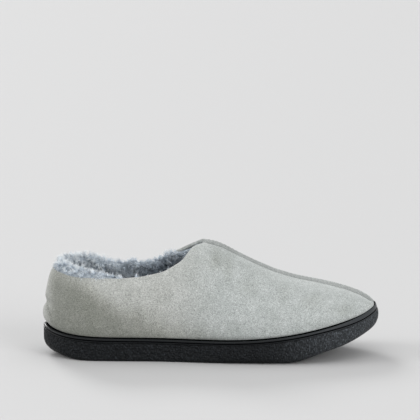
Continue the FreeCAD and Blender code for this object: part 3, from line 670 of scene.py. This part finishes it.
def sole_profile(point, inward, run):
    """Rows of the cup's cross-section, as (inset, height, pebbling) arrays, from the inside over
    the rim and down the outer wall to the underside. Pebbling is 1 on the wall, 0 on the smooth
    bead and -1 in the crevices above and below the bead."""
    x = point[:, 0]
    heel_end = smoothstep(0.72, 1.0, -x / HALF_LENGTH)
    toe_end = smoothstep(0.72, 1.0, x / HALF_LENGTH)
    edge = 2.6 + 9.4 * heel_end + 9.5 * toe_end + 5.5 * bump(x, 48.0, 45.0)
    bead = BEAD + (TOE_BEAD - BEAD) * smoothstep(0.60, 0.95, x / HALF_LENGTH)
    low, high = underside(x + inward[:, 0] * edge), rim_top(x)
    rows = []

    def row(inset, height, pebbled=0.0):
        """One more row of the section; at the toe its top is tucked in."""
        height = height + 0 * x
        rounding = toe_end * smoothstep(high - 8.0, high + 0.5, height)
        tuck = 2.2 * rounding * np.clip(1 - inset / 3.0, 0, 1)
        rows.append((inset + tuck, height, pebbled + 0 * x))

    row(13.0, low + CUP_FLOOR)
    row(CUP_WALL + 0.4, low + CUP_FLOOR)
    row(CUP_WALL, low + (CUP_FLOOR + 0.4))
    row(CUP_WALL, high - 3.0)
    row(CUP_WALL + 0.05, high + LIP - 0.3, -1.0)
    row(CUP_WALL - 0.25, high + LIP, -1.0)
    row(CUP_WALL - 0.75, high + LIP - 0.1, -1.0)
    row(CUP_WALL - 0.95, high + LIP - 0.4, -1.0)
    row(CUP_WALL - 1.0, high - 1.1, -1.0)
    middle = (CUP_WALL - 1.1) / 2
    for angle in np.radians(np.linspace(0, 180, 15)):
        row(middle + np.cos(angle) * middle, high - 0.8 + np.sin(angle) * 0.8)
    row(0.0, high - bead + 0.4)
    row(0.2, high - bead + 0.12)
    row(0.65, high - bead, -1.0)
    row(1.0, high - bead - 0.2, -1.0)
    row(1.0, high - bead - GROOVE + 0.3, -1.0)
    row(0.6, high - bead - GROOVE + 0.05, -1.0)
    row(0.25, high - bead - GROOVE - 0.12)
    smooth_count = len(rows)
    wall_top = high - bead - GROOVE - 0.4
    wall_foot = low + edge
    for share in np.linspace(0, 1, 30):
        level = wall_top + (wall_foot - wall_top) * share
        texture = pebbles(run, wall_top - level, PEBBLE, 3)
        row(PEBBLE_DEPTH * (1 - texture) * smoothstep(0.0, 0.05, share), level,
            smoothstep(0.0, 0.06, share))
    for angle in np.radians(np.linspace(10, 90, 9)):
        texture = pebbles(run, (wall_top - wall_foot) + edge * angle, PEBBLE, 3)
        row(edge * (1 - np.cos(angle)) + PEBBLE_DEPTH * (1 - texture) * np.cos(angle),
            low + edge * (1 - np.sin(angle)), np.cos(angle))
    return rows, smooth_count


SLOT_PITCH = 9.0
SLOT_DEPTH, WAIST_DEPTH = 1.6, 1.2


def tread_height(x, y, edge_distance):
    """Depth of the tread's slots, and of the hollow waist, at a place on the underside."""
    across = x + 2.2 * np.abs(y) / 12.0
    slot = smoothstep(0.55, 0.72, np.cos(across / SLOT_PITCH * 2 * math.pi))
    slotted = np.maximum(between(-118, -62, 4, x), between(-12, 100, 4, x))
    border = smoothstep(7.0, 8.5, edge_distance)
    return SLOT_DEPTH * slot * border * slotted + WAIST_DEPTH * between(-63, -11, 4, x)


def make_outsole():
    """The rubber cup with its bead, groove, pebbled wall and tread."""
    columns = 1080
    run = np.arange(columns) / columns * OUTLINE_LENGTH
    point, inward = outline_at(run)
    rows, smooth_count = sole_profile(point, inward, run)
    grid = [raised(point + inward * inset[:, None], height)
            for inset, height, _ in rows]
    spine_back, spine_front = -HALF_LENGTH * 0.70, HALF_LENGTH * 0.64
    spine_x = np.clip(point[:, 0], spine_back, spine_front)
    spine_y = np.interp(spine_x, (spine_back, -50, 40, spine_front), (0, -2.0, -1.0, 4.0))
    spine = np.stack([spine_x, spine_y], -1)
    tread_edge, cup_edge = grid[-1][:, :2], grid[0][:, :2]
    inner_count = 34
    for step in range(1, inner_count + 1):
        share = step / inner_count
        spot = tread_edge * (1 - share) + spine * share
        distance = np.linalg.norm(spot - point, axis=-1)
        tread = tread_height(spot[:, 0], spot[:, 1], distance)
        grid.append(raised(spot, underside(spot[:, 0]) + tread))
    floor_rows = []
    for share in (1.0, 0.5):
        spot = cup_edge * (1 - share) + spine * share
        floor_rows.append(raised(spot, underside(spot[:, 0]) + CUP_FLOOR))
    grid = floor_rows + grid
    points = np.stack(grid, 1).reshape(-1, 3)
    faces = grid_faces(columns, len(grid), close_columns=True)
    piece = make_object("rubber_cup_sole", points, faces, RUBBER_MATERIAL)
    wall = np.zeros((columns, len(grid)))
    for number, (_, _, pebbling) in enumerate(rows):
        wall[:, len(floor_rows) + number] = pebbling
    # The crevice material and the bead's crevice rows are painted shade.
    piece.data.materials.append(BEAD_MATERIAL)
    piece.data.materials.append(CREVICE_MATERIAL)
    pebbled, bead, crevice = 0, 1, 2
    highest = wall.ravel()[faces].max(1)
    kind = np.where(highest < 0, crevice, np.where(highest <= 0, bead, pebbled))
    section_row = (faces % len(grid)).min(1) - len(floor_rows)
    on_rim = (section_row >= FIRST_RIM_ROW) & (section_row < smooth_count)
    kind = np.where(on_rim, kind, pebbled)
    piece.data.polygons.foreach_set("material_index", kind.astype(np.int32))
    add_attribute(piece, "wall", wall.ravel())
    # Painted light: how much lighter the rubber is towards the toe, which faces the light.
    add_attribute(piece, "toe_light", smoothstep(35, 120, points[:, 0]))
    settle(piece, "rubber", "outsole")


# ---- suede panels

# Darker patches on the suede: mottled where it was brushed another way, and near the throat (the
# two strongest) painted shade of small pull wrinkles:
# along the foot, height, reach along and up the foot, and how strong.
NAP_AND_WRINKLE_SHADE = ((4.0, 86.0, 5.0, 8.0, 0.42), (14.0, 79.0, 5.0, 9.0, 0.34),
           (33.0, 64.0, 9.0, 7.0, 0.16), (-60.0, 44.0, 16.0, 7.0, 0.10),
           (62.0, 56.0, 5.0, 9.0, 0.16), (86.0, 52.0, 9.0, 5.0, 0.20),
           (112.0, 43.0, 7.0, 4.0, 0.24), (101.0, 33.0, 12.0, 4.0, 0.14))


def nap_and_shade_share(points):
    """How light the suede is painted, from 0 to 1: painted shade low on the heel, which is turned
    from the light, and darker in the listed patches.
    """
    x, z = points[..., 0], points[..., 2]
    # Painted shade: the suede is darkened low on the heel, less towards the toe.
    level = np.interp(x, (-140, -131, -105, -79, -27, 30, 80), (82, 80, 70, 50, 36, 29, 20))
    strength = np.interp(x, (-146, -140, -134, -105, -79, -27, 30, 80),
                         (0.15, 0.35, 0.75, 0.85, 0.74, 0.42, 0.25, 0.0))
    nap_and_shade = 1 - strength * (1 - smoothstep(level - 18, level + 8, z))
    for place_x, place_z, reach_x, reach_z, darkness in NAP_AND_WRINKLE_SHADE:
        nap_and_shade = nap_and_shade - darkness * bump(x, place_x, reach_x) * bump(z, place_z, reach_z)
    return np.clip(nap_and_shade + 0.06 * value_noise(points, 9.0, 77), 0, 1)


DEEPEST_FOLD = 2.6              # keeps the suede outside the heel counter


# Folds round the heel: how far in, at what height, and the reach up and down.
FOLDS = ((3.0, 46.0, 3.0), (-2.4, 34.0, 6.0), (1.6, 60.0, 13.0))
CREASE_DEPTH, CREASE_WIDTH = 2.6, 1.8


def heel_folds(side, share, points):
    """Inward dents and bulges of the soft heel, in millimetres."""
    z = points[..., 2]
    near_heel = smoothstep(0.90, 0.97, share)
    fold = sum(depth * bump(z, height, reach) * near_heel for depth, height, reach in FOLDS)
    crease_line = 43.0 + (share - 0.965) * 260.0
    crease = CREASE_DEPTH * bump(z, crease_line, CREASE_WIDTH) * (side.sign < 0)
    crease = crease * between(0.925, 0.995, 0.02, share)
    return DEEPEST_FOLD * np.tanh((fold + crease) / DEEPEST_FOLD)


def soft_waves(side, share, points):
    """Gentle unevenness of a padded panel, in millimetres."""
    fade = smoothstep(0.0, 0.12, share)
    broad = value_noise(points, 34.0, 11 + side.sign) * 0.6
    small = value_noise(points, 13.0, 23 + side.sign) * 0.2
    return (broad + small) * fade


def foot_tuck(row):
    """How far the suede turns in just above the rim, in millimetres."""
    return 1.6 * (1 - smoothstep(-0.02, 0.055, row)) * smoothstep(-0.5, -0.15, row)


def crest_shift(side, share, row, limit):
    """How much a panel's edge stands above or below the middle of the strip."""
    near_edge = smoothstep(0.72, 1.0, row / np.maximum(limit, 0.05))
    over_foot = 1 - smoothstep(0.50, 0.56, share)
    height = 0.7 if side.sign > 0 else -1.3
    return height * near_edge * over_foot * smoothstep(0.015, 0.06, share)


def panel_surface(side, share, row, limit, depth):
    """Points of a panel at a depth, with its folds, and the directions into the slipper."""
    points = side.surface(share, row)
    normals = side.normal(share, row)
    push = soft_waves(side, share, points) * (1 - smoothstep(0.97, 1.0, share))
    push = push + heel_folds(side, share, points)
    push = push * smoothstep(0.02, 0.12, row) + foot_tuck(row)
    points = points + normals * (depth + push)[..., None]
    points[..., 2] += crest_shift(side, share, row, limit)
    return points, normals


PANEL_TIP = 0.016               # share where a panel starts at the toe
BEHIND_THROAT = 0.64            # from this share on the panels are clear of the strip


def section_grid(shares, places, limit):
    """Share and row at each point of a sheet: places run from -1 in the cup, past 0 at the rim,
    to 1 at the sheet's limit."""
    share, place = np.meshgrid(shares, places, indexing="ij")
    return share, np.where(place > 0, place * limit[:, None], place)


def panel_limit(side, shares):
    """The row where a panel ends: beside the strip over the foot, and just under the topline
    behind the throat."""
    beside_strip = side.edge_row(shares, STRIP_WIDTH / 2 + PAD / 2 - 0.6)
    under_topline = 1 - 0.01 * smoothstep(0.53, 0.60, shares)
    if side.sign < 0:
        under_topline = under_topline - 0.05 * smoothstep(0.78, 0.90, shares)
    over_foot = np.minimum(beside_strip, under_topline)
    return np.where(shares < BEHIND_THROAT, over_foot, under_topline)


def make_panel(name, side, *nodes):
    """A padded suede side panel: outer face, rolled edge and inner face."""
    columns = 420
    rows = 90
    shares = np.linspace(PANEL_TIP, 1.0, columns)
    limit = panel_limit(side, shares)
    places = np.concatenate([np.linspace(-1, 0, 5)[:-1], np.linspace(0, 0.08, 9)[:-1],
                             np.linspace(0.08, 1, rows - 8)])
    share, row = section_grid(shares, places, limit)
    outer, normals = panel_surface(side, share, row, limit[:, None], 0.0)
    inner, _ = panel_surface(side, share, row, limit[:, None], PAD)
    up = unit(outer[:, -1] - outer[:, -2])
    inward = normals[:, -1]
    radius = PAD / 2
    centre = outer[:, -1] + inward * radius
    roll = [centre - inward * radius * math.cos(angle) + up * radius * 0.85 * math.sin(angle)
            for angle in np.radians(np.linspace(0, 180, 14)[1:-1])]
    rings = np.concatenate([outer, np.stack(roll, 1), inner[:, ::-1]], 1)
    rings[-1, :, 1] = side.sign * SEAM_GAP / 2
    piece = make_shell(name, rings, SUEDE_MATERIAL, flip=side.sign > 0)
    # Mottled tone and painted shade of the suede.
    add_attribute(piece, "nap_and_shade", nap_and_shade_share(rings).ravel())
    add_attribute(piece, "warmth", 1 - smoothstep(-50, 15, rings[..., 0]).ravel())
    settle(piece, "suede", *nodes)


# ---- centre strip

STRIP_TILT = 1.2                # the strip leans towards the outer side
STRIP_THICKNESS = 1.5           # with its backing tape


def make_strip():
    """The narrow strip in the valley between the panels, with its backing tape."""
    count = 260
    x = np.linspace(-7.5, 141.2, count)
    z = ridge_height(x) - 0.8 - 2.5 * (1 - smoothstep(-7.8, -5.0, x))
    tip_x = outline[:, 0].max() - CUP_WALL - 0.9
    x = np.concatenate([x, [tip_x + 0.45, tip_x + 0.1, tip_x, tip_x]])
    z = np.concatenate([z, [z[-1] - 1.6, z[-1] - 3.5, z[-1] - 6.0, z[-1] - 10.0]])
    half = STRIP_WIDTH / 2 + 0.6
    run, fall = np.gradient(x), np.gradient(z)
    length = np.hypot(run, fall)
    down = np.stack([fall / length, 0 * x, -run / length], -1)
    top = []
    for across in np.linspace(-1, 1, 15):
        line = np.stack([x, ridge_side(x) + half * across, z], -1)
        sink = 2.3 * abs(across) ** 4 - STRIP_TILT * across
        top.append(line + down * sink)
    top = np.stack(top, 1)
    bottom = top + down[:, None] * STRIP_THICKNESS
    rings = np.concatenate([top, bottom[:, ::-1]], 1)
    piece = make_shell("centre_strip_suede", rings, STRIP_MATERIAL, flip=True)
    # Painted shade: a value below 1 darkens the whole strip a little more.
    add_attribute(piece, "nap_and_shade", np.full(rings[..., 0].size, 0.9))
    settle(piece, "suede", "centre_strip", "strip_backing")


# ---- threads

def tube_mesh(paths, radii, sides):
    """Points and faces of many tapering tubes at once. paths is (tubes, steps, 3)."""
    tubes, steps = paths.shape[:2]
    tangent = unit(np.gradient(paths, axis=1))
    guide = np.where(np.abs(tangent[..., 2:3]) > 0.8, (1.0, 0.0, 0.0), (0.0, 0.0, 1.0))
    first = unit(np.cross(tangent, guide))
    second = np.cross(tangent, first)
    angles = np.arange(sides) / sides * 2 * math.pi
    ring = (first[:, :, None] * np.cos(angles)[:, None]
            + second[:, :, None] * np.sin(angles)[:, None])
    points = paths[:, :, None] + ring * radii[..., None, None]
    index = np.arange(tubes * steps * sides).reshape(tubes, steps, sides)
    turned = np.roll(index, -1, 2)
    quads = np.stack([index[:, :-1], turned[:, :-1], turned[:, 1:], index[:, 1:]], -1)
    return points.reshape(-1, 3), quads.reshape(-1, 4)


def make_strip_stitches(name, sign, node):
    """Small stitches along one edge of the strip."""
    pitch, length, radius = 3.4, 2.3, 0.22
    starts = np.arange(-3.0, 134.0, pitch)
    place = np.linspace(0, 1, 7)
    x = starts[:, None] + length * place
    arch = np.sin(place * math.pi) * 0.2
    y = ridge_side(x) + sign * (STRIP_WIDTH / 2 - 1.0)
    z = ridge_height(x) - 1.55 + sign * STRIP_TILT * 0.75 + arch
    paths = np.stack([x, y, z], -1)
    taper = 0.35 + 0.65 * np.sin(np.clip(place, 0.12, 0.88) * math.pi)
    radii = np.full(paths.shape[:2], radius) * taper
    points, faces = tube_mesh(paths, radii, 8)
    piece = make_object(name, points, faces, THREAD_MATERIAL)
    settle(piece, "thread", node)


# ---- fleece

LINING_DEPTH = 3.4              # the lining's outer face, inside the suede's outer face
LINING_BACK = 7.4               # its inner face
LINING_TIP = 0.085              # share where it starts at the toe
OVERHANG, INNER_OVERHANG = 3.0, 0.4


def lining_surface(side, share, row, depth):
    """Points of the lining. Above the topline it swells out over the suede's edge."""
    early = smoothstep(0.74, 0.84, share) if side.sign < 0 else 0.0
    over = smoothstep(0.95 - 0.09 * early, 1.10 - 0.17 * early, row)
    reach = OVERHANG if depth == LINING_DEPTH else INNER_OVERHANG
    outward = reach * over * smoothstep(0.70, 0.86, share)
    points = side.surface(share, row)
    normals = side.normal(share, row)
    push = heel_folds(side, share, points) * smoothstep(0.02, 0.12, row)
    return points + normals * (depth + push - outward)[..., None], normals


def lining_limit(side, shares):
    """How far up the lining runs: to the ridge over the foot, and past the topline elsewhere."""
    over_foot = side.edge_row(shares, SEAM_GAP)
    if side.sign < 0:
        places = (0.51, 0.60, 0.68, 0.78, 0.86, 0.93, 1.0)
        rises = (-0.06, -0.03, -0.02, 0.02, 0.09, 0.09, 0.02)
    else:
        places = (0.51, 0.59, 0.62, 0.64, 0.66, 0.68, 0.70, 0.725, 0.75, 0.79, 0.84, 0.91,
                  0.95, 1.0)
        rises = (-0.08, -0.01, 0.07, 0.11, 0.05, 0.03, 0.09, 0.12, 0.05, 0.10, 0.21, 0.16,
                 0.09, 0.02)
    rise = 1 + np.interp(shares, places, rises)
    return np.where(shares <= VAMP[-1, 0], over_foot, rise)


def lining_edge(outer, inner):
    """Middle and half thickness of the lining's top edge, and its outward and upward ways."""
    centre = (inner[:, -1] + outer[:, -1]) / 2
    thick = np.linalg.norm(inner[:, -1] - outer[:, -1], axis=-1)[:, None] / 2
    out = unit(outer[:, -1] - inner[:, -1])
    up = unit(outer[:, -1] - outer[:, -3])
    return centre, thick, out, up


def make_lining_backing(name, side, *nodes):
    """The lining's cloth, which the curls stand on."""
    columns = 260
    shares = np.linspace(LINING_TIP, 1.0, columns)
    limit = lining_limit(side, shares)
    places = np.concatenate([np.linspace(-1, 0, 4)[:-1], np.linspace(0, 1, 36)])
    share, row = section_grid(shares, places, limit)
    outer, normals = lining_surface(side, share, row, LINING_DEPTH)
    inner, _ = lining_surface(side, share, row, LINING_BACK)
    lumps = value_noise(inner, 6.0, 5) * 0.9
    inner = inner + normals * (lumps * smoothstep(0, 0.2, row))[..., None]
    centre, thick, out, up = lining_edge(outer, inner)
    roll = [centre + out * (thick * math.cos(angle)) + up * (thick * math.sin(angle))
            for angle in np.radians(np.linspace(0, 180, 10)[1:-1])]
    rings = np.concatenate([outer, np.stack(roll, 1), inner[:, ::-1]], 1)
    rings[-1, :, 1] = side.sign * SEAM_GAP
    piece = make_shell(name, rings, BACKING_MATERIAL, flip=side.sign > 0)
    settle(piece, "fleece", *nodes)


def tube_triangles(paths, radii, sides):
    """Many closed tapering tubes as triangles. paths is (tubes, steps, 3)."""
    points, quads = tube_mesh(paths, radii, sides)
    tubes, steps = paths.shape[:2]
    index = np.arange(tubes * steps * sides).reshape(tubes, steps, sides)
    root, tip = index[:, 0, ::-1], index[:, -1]
    fans = [np.stack([end[:, 0], end[:, k], end[:, k + 1]], -1)
            for end in (root, tip) for k in range(1, sides - 1)]
    return points, np.concatenate([quads[:, [0, 1, 2]], quads[:, [0, 2, 3]]] + fans)


FIBRES = 11                     # in a lock
FIBRE_RADIUS = 0.175
FIBRE_STEPS = 6


def locks(roots, normals, rng, length, spread=1.3, combed=0.0):
    """Curly locks of fibres standing on a surface. Returns points, faces, tip and shade."""
    count = len(roots)
    wild = rng.normal(size=(count, 3))
    side_one = unit(np.cross(normals, wild))
    side_two = np.cross(normals, side_one)
    lean = unit(normals + 0.42 * wild + combed)
    reach = length * rng.uniform(0.7, 1.25, size=count)
    turn = rng.uniform(0.3, 0.95, size=count) * 2 * math.pi * rng.choice((-1, 1), size=count)
    phase = rng.uniform(0, 2 * math.pi, size=count)
    tone = np.clip(rng.normal(0.5, 0.17, size=count), 0, 1)

    def each(values):
        """One value for each fibre, from one for each lock."""
        return np.repeat(values, FIBRES, axis=0)

    total = count * FIBRES
    t = np.linspace(0, 1, FIBRE_STEPS)[None, :, None]
    angle = rng.uniform(0, 2 * math.pi, size=(total, 1))
    away = np.sqrt(rng.uniform(size=(total, 1))) * spread
    offset = each(side_one) * np.cos(angle) * away + each(side_two) * np.sin(angle) * away
    start = each(roots) + offset
    own = unit(each(lean) + 0.32 * rng.normal(size=(total, 3)))
    own_reach = (each(reach) * rng.uniform(0.7, 1.15, size=total))[:, None, None]
    path = start[:, None] + own[:, None] * own_reach * (t - 0.30 * t ** 2)
    path = path - offset[:, None] * 0.4 * t ** 1.3
    own_phase = (each(phase) + rng.normal(0, 0.5, size=total))[:, None, None]
    own_turn = (each(turn) * rng.uniform(0.8, 1.2, size=total))[:, None, None]
    swing = rng.uniform(0.4, 1.0, size=(total, 1, 1)) * t ** 0.8
    path = path + (each(side_one)[:, None] * (np.cos(own_phase + own_turn * t) - np.cos(own_phase))
                   + each(side_two)[:, None] * (np.sin(own_phase + own_turn * t)
                                                - np.sin(own_phase))) * swing
    radii = np.broadcast_to(FIBRE_RADIUS * (1 - 0.6 * t[..., 0] ** 1.5), (total, FIBRE_STEPS))
    points, faces = tube_triangles(path, radii, 3)
    tip = np.repeat(np.broadcast_to(t[..., 0], (total, FIBRE_STEPS)).ravel(), 3)
    shade = np.clip(each(tone) + rng.normal(0, 0.12, size=total), 0, 1)
    return points, faces, tip, np.repeat(shade, FIBRE_STEPS * 3)


def scatter(grid, normals, per_mm2, rng, keep):
    """Random roots over a grid surface, thinned out where keep is below 1, and their normals."""
    corner = grid[:-1, :-1]
    area = np.linalg.norm(np.cross(grid[1:, :-1] - corner, grid[:-1, 1:] - corner), axis=-1)
    area = area * keep[:-1, :-1]
    chances = area.ravel() / area.sum()
    count = int(area.sum() * per_mm2)
    chosen = rng.choice(len(chances), size=count, p=chances)
    u, v = np.divmod(chosen, area.shape[1])
    s, t = rng.uniform(size=(2, count, 1))
    roots = (grid[u, v] * (1 - s) * (1 - t) + grid[u + 1, v] * s * (1 - t)
             + grid[u, v + 1] * (1 - s) * t + grid[u + 1, v + 1] * s * t)
    return roots, unit(normals[u, v])


def depth_shade(points):
    """How much of its pale tips the pile keeps: less deep inside and towards the toe."""
    far_side = smoothstep(-6, 8, points[:, 1])
    inside = smoothstep(-72, -42, points[:, 0]) * (1 - smoothstep(66, 84, points[:, 2])) * far_side
    low = 1 - smoothstep(40, 66, points[:, 2])
    return 1 - 0.68 * np.maximum(inside, 0.4 * low)


def collar_painted_light(points):
    """How much paler the pile is at its roots on the collar round the heel: painted light where
    the collar is lit strongly and its pile lies flat.
    """
    amount = 0.30 + 0.28 * smoothstep(-15, 15, points[:, 1])
    return amount * smoothstep(66, 74, points[:, 2]) * (1 - smoothstep(-105, -70, points[:, 0]))


def make_pile(name, roots, normals, rng, **shape):
    """One piece of fleece pile."""
    points, faces, tip, shade = locks(roots, normals, rng, **shape)
    tip = tip * depth_shade(points)
    # Painted light: paler roots on the collar round the heel.
    tip = tip + (1 - tip) * collar_painted_light(points)
    piece = make_object(name, points, faces, FLEECE_MATERIAL)
    add_attribute(piece, "tip", tip)
    add_attribute(piece, "shade", shade)
    settle(piece, "fleece")


def lining_pile_surface(side, share_from, share_to):
    """The lining's visible face: up the inside, over the roll and out to the suede's edge."""
    shares = np.linspace(share_from, share_to, 90)
    limit = lining_limit(side, shares)
    share, row = section_grid(shares, np.linspace(0.0, 1, 40), limit)
    inner, normals = lining_surface(side, share, row, LINING_BACK)
    outer, outer_normals = lining_surface(side, share, row, LINING_DEPTH)
    centre, thick, out, up = lining_edge(outer, inner)
    grid, direction, keep = [inner], [normals], [np.ones(inner.shape[:2])]
    keep[0][:, :10] = 0.25
    collar = smoothstep(0.585, 0.62, shares)
    for angle in np.radians(np.linspace(180, 0, 9)[1:-1]):
        spoke = out * math.cos(angle) + up * math.sin(angle)
        grid.append((centre + spoke * thick)[:, None])
        direction.append(spoke[:, None])
        kept = np.ones(len(shares)) if angle > math.pi / 2 else collar
        if angle < 1.3:
            kept = kept * smoothstep(-0.01, 0.03, limit - 1)
        keep.append(kept[:, None])
    grid.append(outer[:, ::-1][:, :8])
    direction.append(-outer_normals[:, ::-1][:, :8])
    keep.append(smoothstep(0.99, 1.03, row[:, ::-1][:, :8]) * collar[:, None])
    return np.concatenate(grid, 1), np.concatenate(direction, 1), np.concatenate(keep, 1)


def make_lining_pile():
    """Locks all over the visible lining, in pieces along each side."""
    per_mm2 = 0.150
    zones = ((0.30, 0.50), (0.50, 0.60), (0.60, 0.69), (0.69, 0.77), (0.77, 0.84), (0.84, 0.90),
             (0.90, 0.95), (0.95, 1.0))
    for label, side in (("lateral", lateral), ("medial", medial)):
        for number, (start, end) in enumerate(zones):
            rng = np.random.default_rng(100 + number + (50 if side.sign > 0 else 0))
            grid, direction, keep = lining_pile_surface(side, start, end)
            if end <= 0.5:
                keep = keep * 0.4
                keep[:, 36:] = 0
            roots, normals = scatter(grid, direction, per_mm2, rng, keep)
            make_pile(f"{label}_lining_locks_{number + 1}", roots, normals, rng,
                      length=6.2, combed=np.array((0.0, 0.0, 0.35)))


FOOTBED_INSET = 12.5            # the pile starts this far inside the outline


def footbed_grid():
    """The footbed's upper face as a grid, with its normals."""
    shares = np.linspace(0.30, 1.0, 110)
    left, left_in = lateral.base(shares)
    right, right_in = medial.base(shares)
    left = left + left_in * FOOTBED_INSET
    right = right + right_in * FOOTBED_INSET
    across = np.linspace(0, 1, 40)[None, :, None]
    flat = left[:, None] * (1 - across) + right[:, None] * across
    edge = np.minimum(across[..., 0], 1 - across[..., 0])
    height = (underside(flat[..., 0]) + FOOTBED_TOP - 2.4 + heel_lift(flat[..., 0])
              + 1.6 * (1 - smoothstep(0.0, 0.18, edge)))
    grid = raised(flat, height)
    normals = np.zeros(grid.shape)
    normals[..., 2] = 1
    return grid, normals


def make_footbed():
    """The fleece sock on the footbed: a soft pad and its pile."""
    columns = 400
    run = np.arange(columns) / columns * OUTLINE_LENGTH
    point, inward = outline_at(run)
    x = point[:, 0]
    spine = np.stack([np.clip(x, -95, 85), np.interp(x, (-95, 85), (0, 3))], -1)

    def row(spot, sunk):
        """A ring of points, sunk below the footbed's top."""
        top = underside(spot[:, 0]) + heel_lift(spot[:, 0]) + FOOTBED_TOP
        return raised(spot, top - sunk)

    edge = [point + inward * inset for inset in (16.0, 13.6, 13.2, 14.2)]
    rows = [row(edge[0] * (1 - share) + spine * share, 4.0) for share in (1.0, 0.5)]
    rows += [row(spot, sunk) for spot, sunk in zip(edge, (4.0, 3.6, 2.4, 1.2))]
    for share in np.linspace(0.06, 1.0, 22):
        spot = edge[-1] * (1 - share) + spine * share
        lump = value_noise(raised(spot, 0 * spot[:, 0]), 7.0, 8) * 0.5
        rows.append(row(spot, 1.4 + 1.2 * smoothstep(0, 0.3, share) - lump))
    grid = np.stack(rows, 1)
    faces = grid_faces(columns, grid.shape[1], close_columns=True, flip=True)
    piece = make_object("footbed_sock", grid.reshape(-1, 3), faces, BACKING_MATERIAL)
    settle(piece, "fleece", "footbed_cover")
    rng = np.random.default_rng(7)
    grid, normals = footbed_grid()
    keep = np.where(grid[..., 0] < 35, 1.0, 0.3)
    roots, normals = scatter(grid, normals, 0.075, rng, keep)
    for name, low, high in (("heel", -200, -90), ("arch", -90, -35), ("front", -35, 200)):
        part = (roots[:, 0] >= low) & (roots[:, 0] < high)
        make_pile(f"footbed_locks_{name}", roots[part], normals[part], rng, length=4.4, spread=1.8)


# ---- CAD nodes that stay

# Node, material, its two colours and the size of its mottling.
HIDDEN_LOOKS = (
    ("eva_midsole", "eva_foam", (0.10, 0.105, 0.11), (0.16, 0.165, 0.17), 1.2),
    ("insole_board", "fibre_board", (0.30, 0.25, 0.19), (0.46, 0.40, 0.32), 0.8),
    ("footbed_foam", "footbed_foam", (0.55, 0.52, 0.42), (0.68, 0.65, 0.55), 0.7),
    ("heel_counter", "counter_fibre", (0.48, 0.45, 0.38), (0.60, 0.57, 0.50), 0.6),
    ("toe_puff", "puff_fibre", (0.50, 0.47, 0.40), (0.62, 0.58, 0.52), 0.6),
    ("back_seam_tape", "seam_tape", (0.36, 0.36, 0.36), (0.50, 0.50, 0.49), 0.4),
    ("topline_tape", "edge_tape", (0.20, 0.22, 0.24), (0.34, 0.37, 0.40), 0.4))


def finish_node(node, material):
    """Give a CAD node a material."""
    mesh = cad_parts[node].data
    mesh.materials.clear()
    mesh.materials.append(material)


def finish_hidden_nodes():
    """Give the layers inside the slipper their own materials."""
    for node, *look in HIDDEN_LOOKS:
        finish_node(node, hidden_material(*look))
    finish_node("board_stitching", THREAD_MATERIAL)


# ---- stage, light and camera

def make_stage():
    """A wide pale floor."""
    made = Shader("stage", 0.75, Specular_IOR_Level=0.15)
    made.set(Base_Color=(0.568, 0.568, 0.570))
    reach = 9000
    corners = [(x, y, 0.0) for x in (-reach, reach) for y in (-reach, reach)]
    floor = make_object("stage_floor", np.array(corners), grid_faces(2, 2), made.material)


def soft_sun(name, towards, spread, strength):
    """Even light from one side of the room; spread is how wide its source looks, in degrees."""
    data = bpy.data.lights.new(name, "SUN")
    data.angle = math.radians(spread)
    data.energy = strength
    add_object(name, data).rotation_euler = look_rotation(-np.array(towards, float))


def look_rotation(direction):
    """The rotation that points an object's -Z along a direction, with +Z up."""
    x, y, z = direction / np.linalg.norm(direction)
    return (math.acos(-z), 0.0, math.atan2(-x, y))


def make_lights():
    """A soft sky, a low light from behind, and weaker ones overhead, in front and at the heel."""
    soft_sun("overhead", (0.05, 0.1, 1.0), 80, 0.5)
    soft_sun("window", (-0.35, 1.0, 0.58), 18, 1.3)
    soft_sun("key", (1.2, -1.5, 0.8), 34, 0.95)
    soft_sun("low_fill", (1.5, -1.2, 0.3), 26, 0.55)
    soft_sun("heel_side", (-1.0, 0.0, 0.5), 30, 0.95)
    world = bpy.data.worlds.new("studio")
    world.use_nodes = True
    sky = world.node_tree.nodes["Background"]
    sky.inputs["Color"].default_value = (1.0, 1.0, 1.0, 1.0)
    sky.inputs["Strength"].default_value = 0.60
    bpy.context.scene.world = world


ELEVATION = 9.0                # degrees above the floor
PIXELS_PER_MM = 1.162          # at the slipper's middle
PICTURE_WIDTH = 420            # pixels
CAMERA_DISTANCE = 2.6          # metres
AIM = (-0.0011, 0.0, 0.1249)   # metres


def make_camera():
    """A long lens at the slipper's outer side, slightly above it."""
    data = bpy.data.cameras.new("camera")
    data.sensor_width = 36.0
    view_width = PICTURE_WIDTH / PIXELS_PER_MM * MM
    data.lens = data.sensor_width * CAMERA_DISTANCE / view_width
    data.clip_end = 50
    camera = add_object("camera", data)
    angle = math.radians(ELEVATION)
    back = np.array([0.0, -math.cos(angle), math.sin(angle)])
    camera.location = np.array(AIM) + back * CAMERA_DISTANCE
    camera.rotation_euler = look_rotation(-back)
    bpy.context.scene.camera = camera


bpy.context.scene.view_settings.view_transform = "Standard"
make_camera()
make_stage()
make_lights()
make_outsole()
make_panel("lateral_suede_panel", lateral, "outer_lateral_panel", "lateral_foam_backing")
make_panel("medial_suede_panel", medial, "outer_medial_panel", "medial_foam_backing")
make_strip()
make_strip_stitches("lateral_strip_stitches", -1, "strip_stitching_lateral")
make_strip_stitches("medial_strip_stitches", 1, "strip_stitching_medial")
make_lining_backing("lateral_lining_cloth", lateral, "lateral_lining")
make_lining_backing("medial_lining_cloth", medial, "medial_lining")
make_lining_pile()
make_footbed()
finish_hidden_nodes()
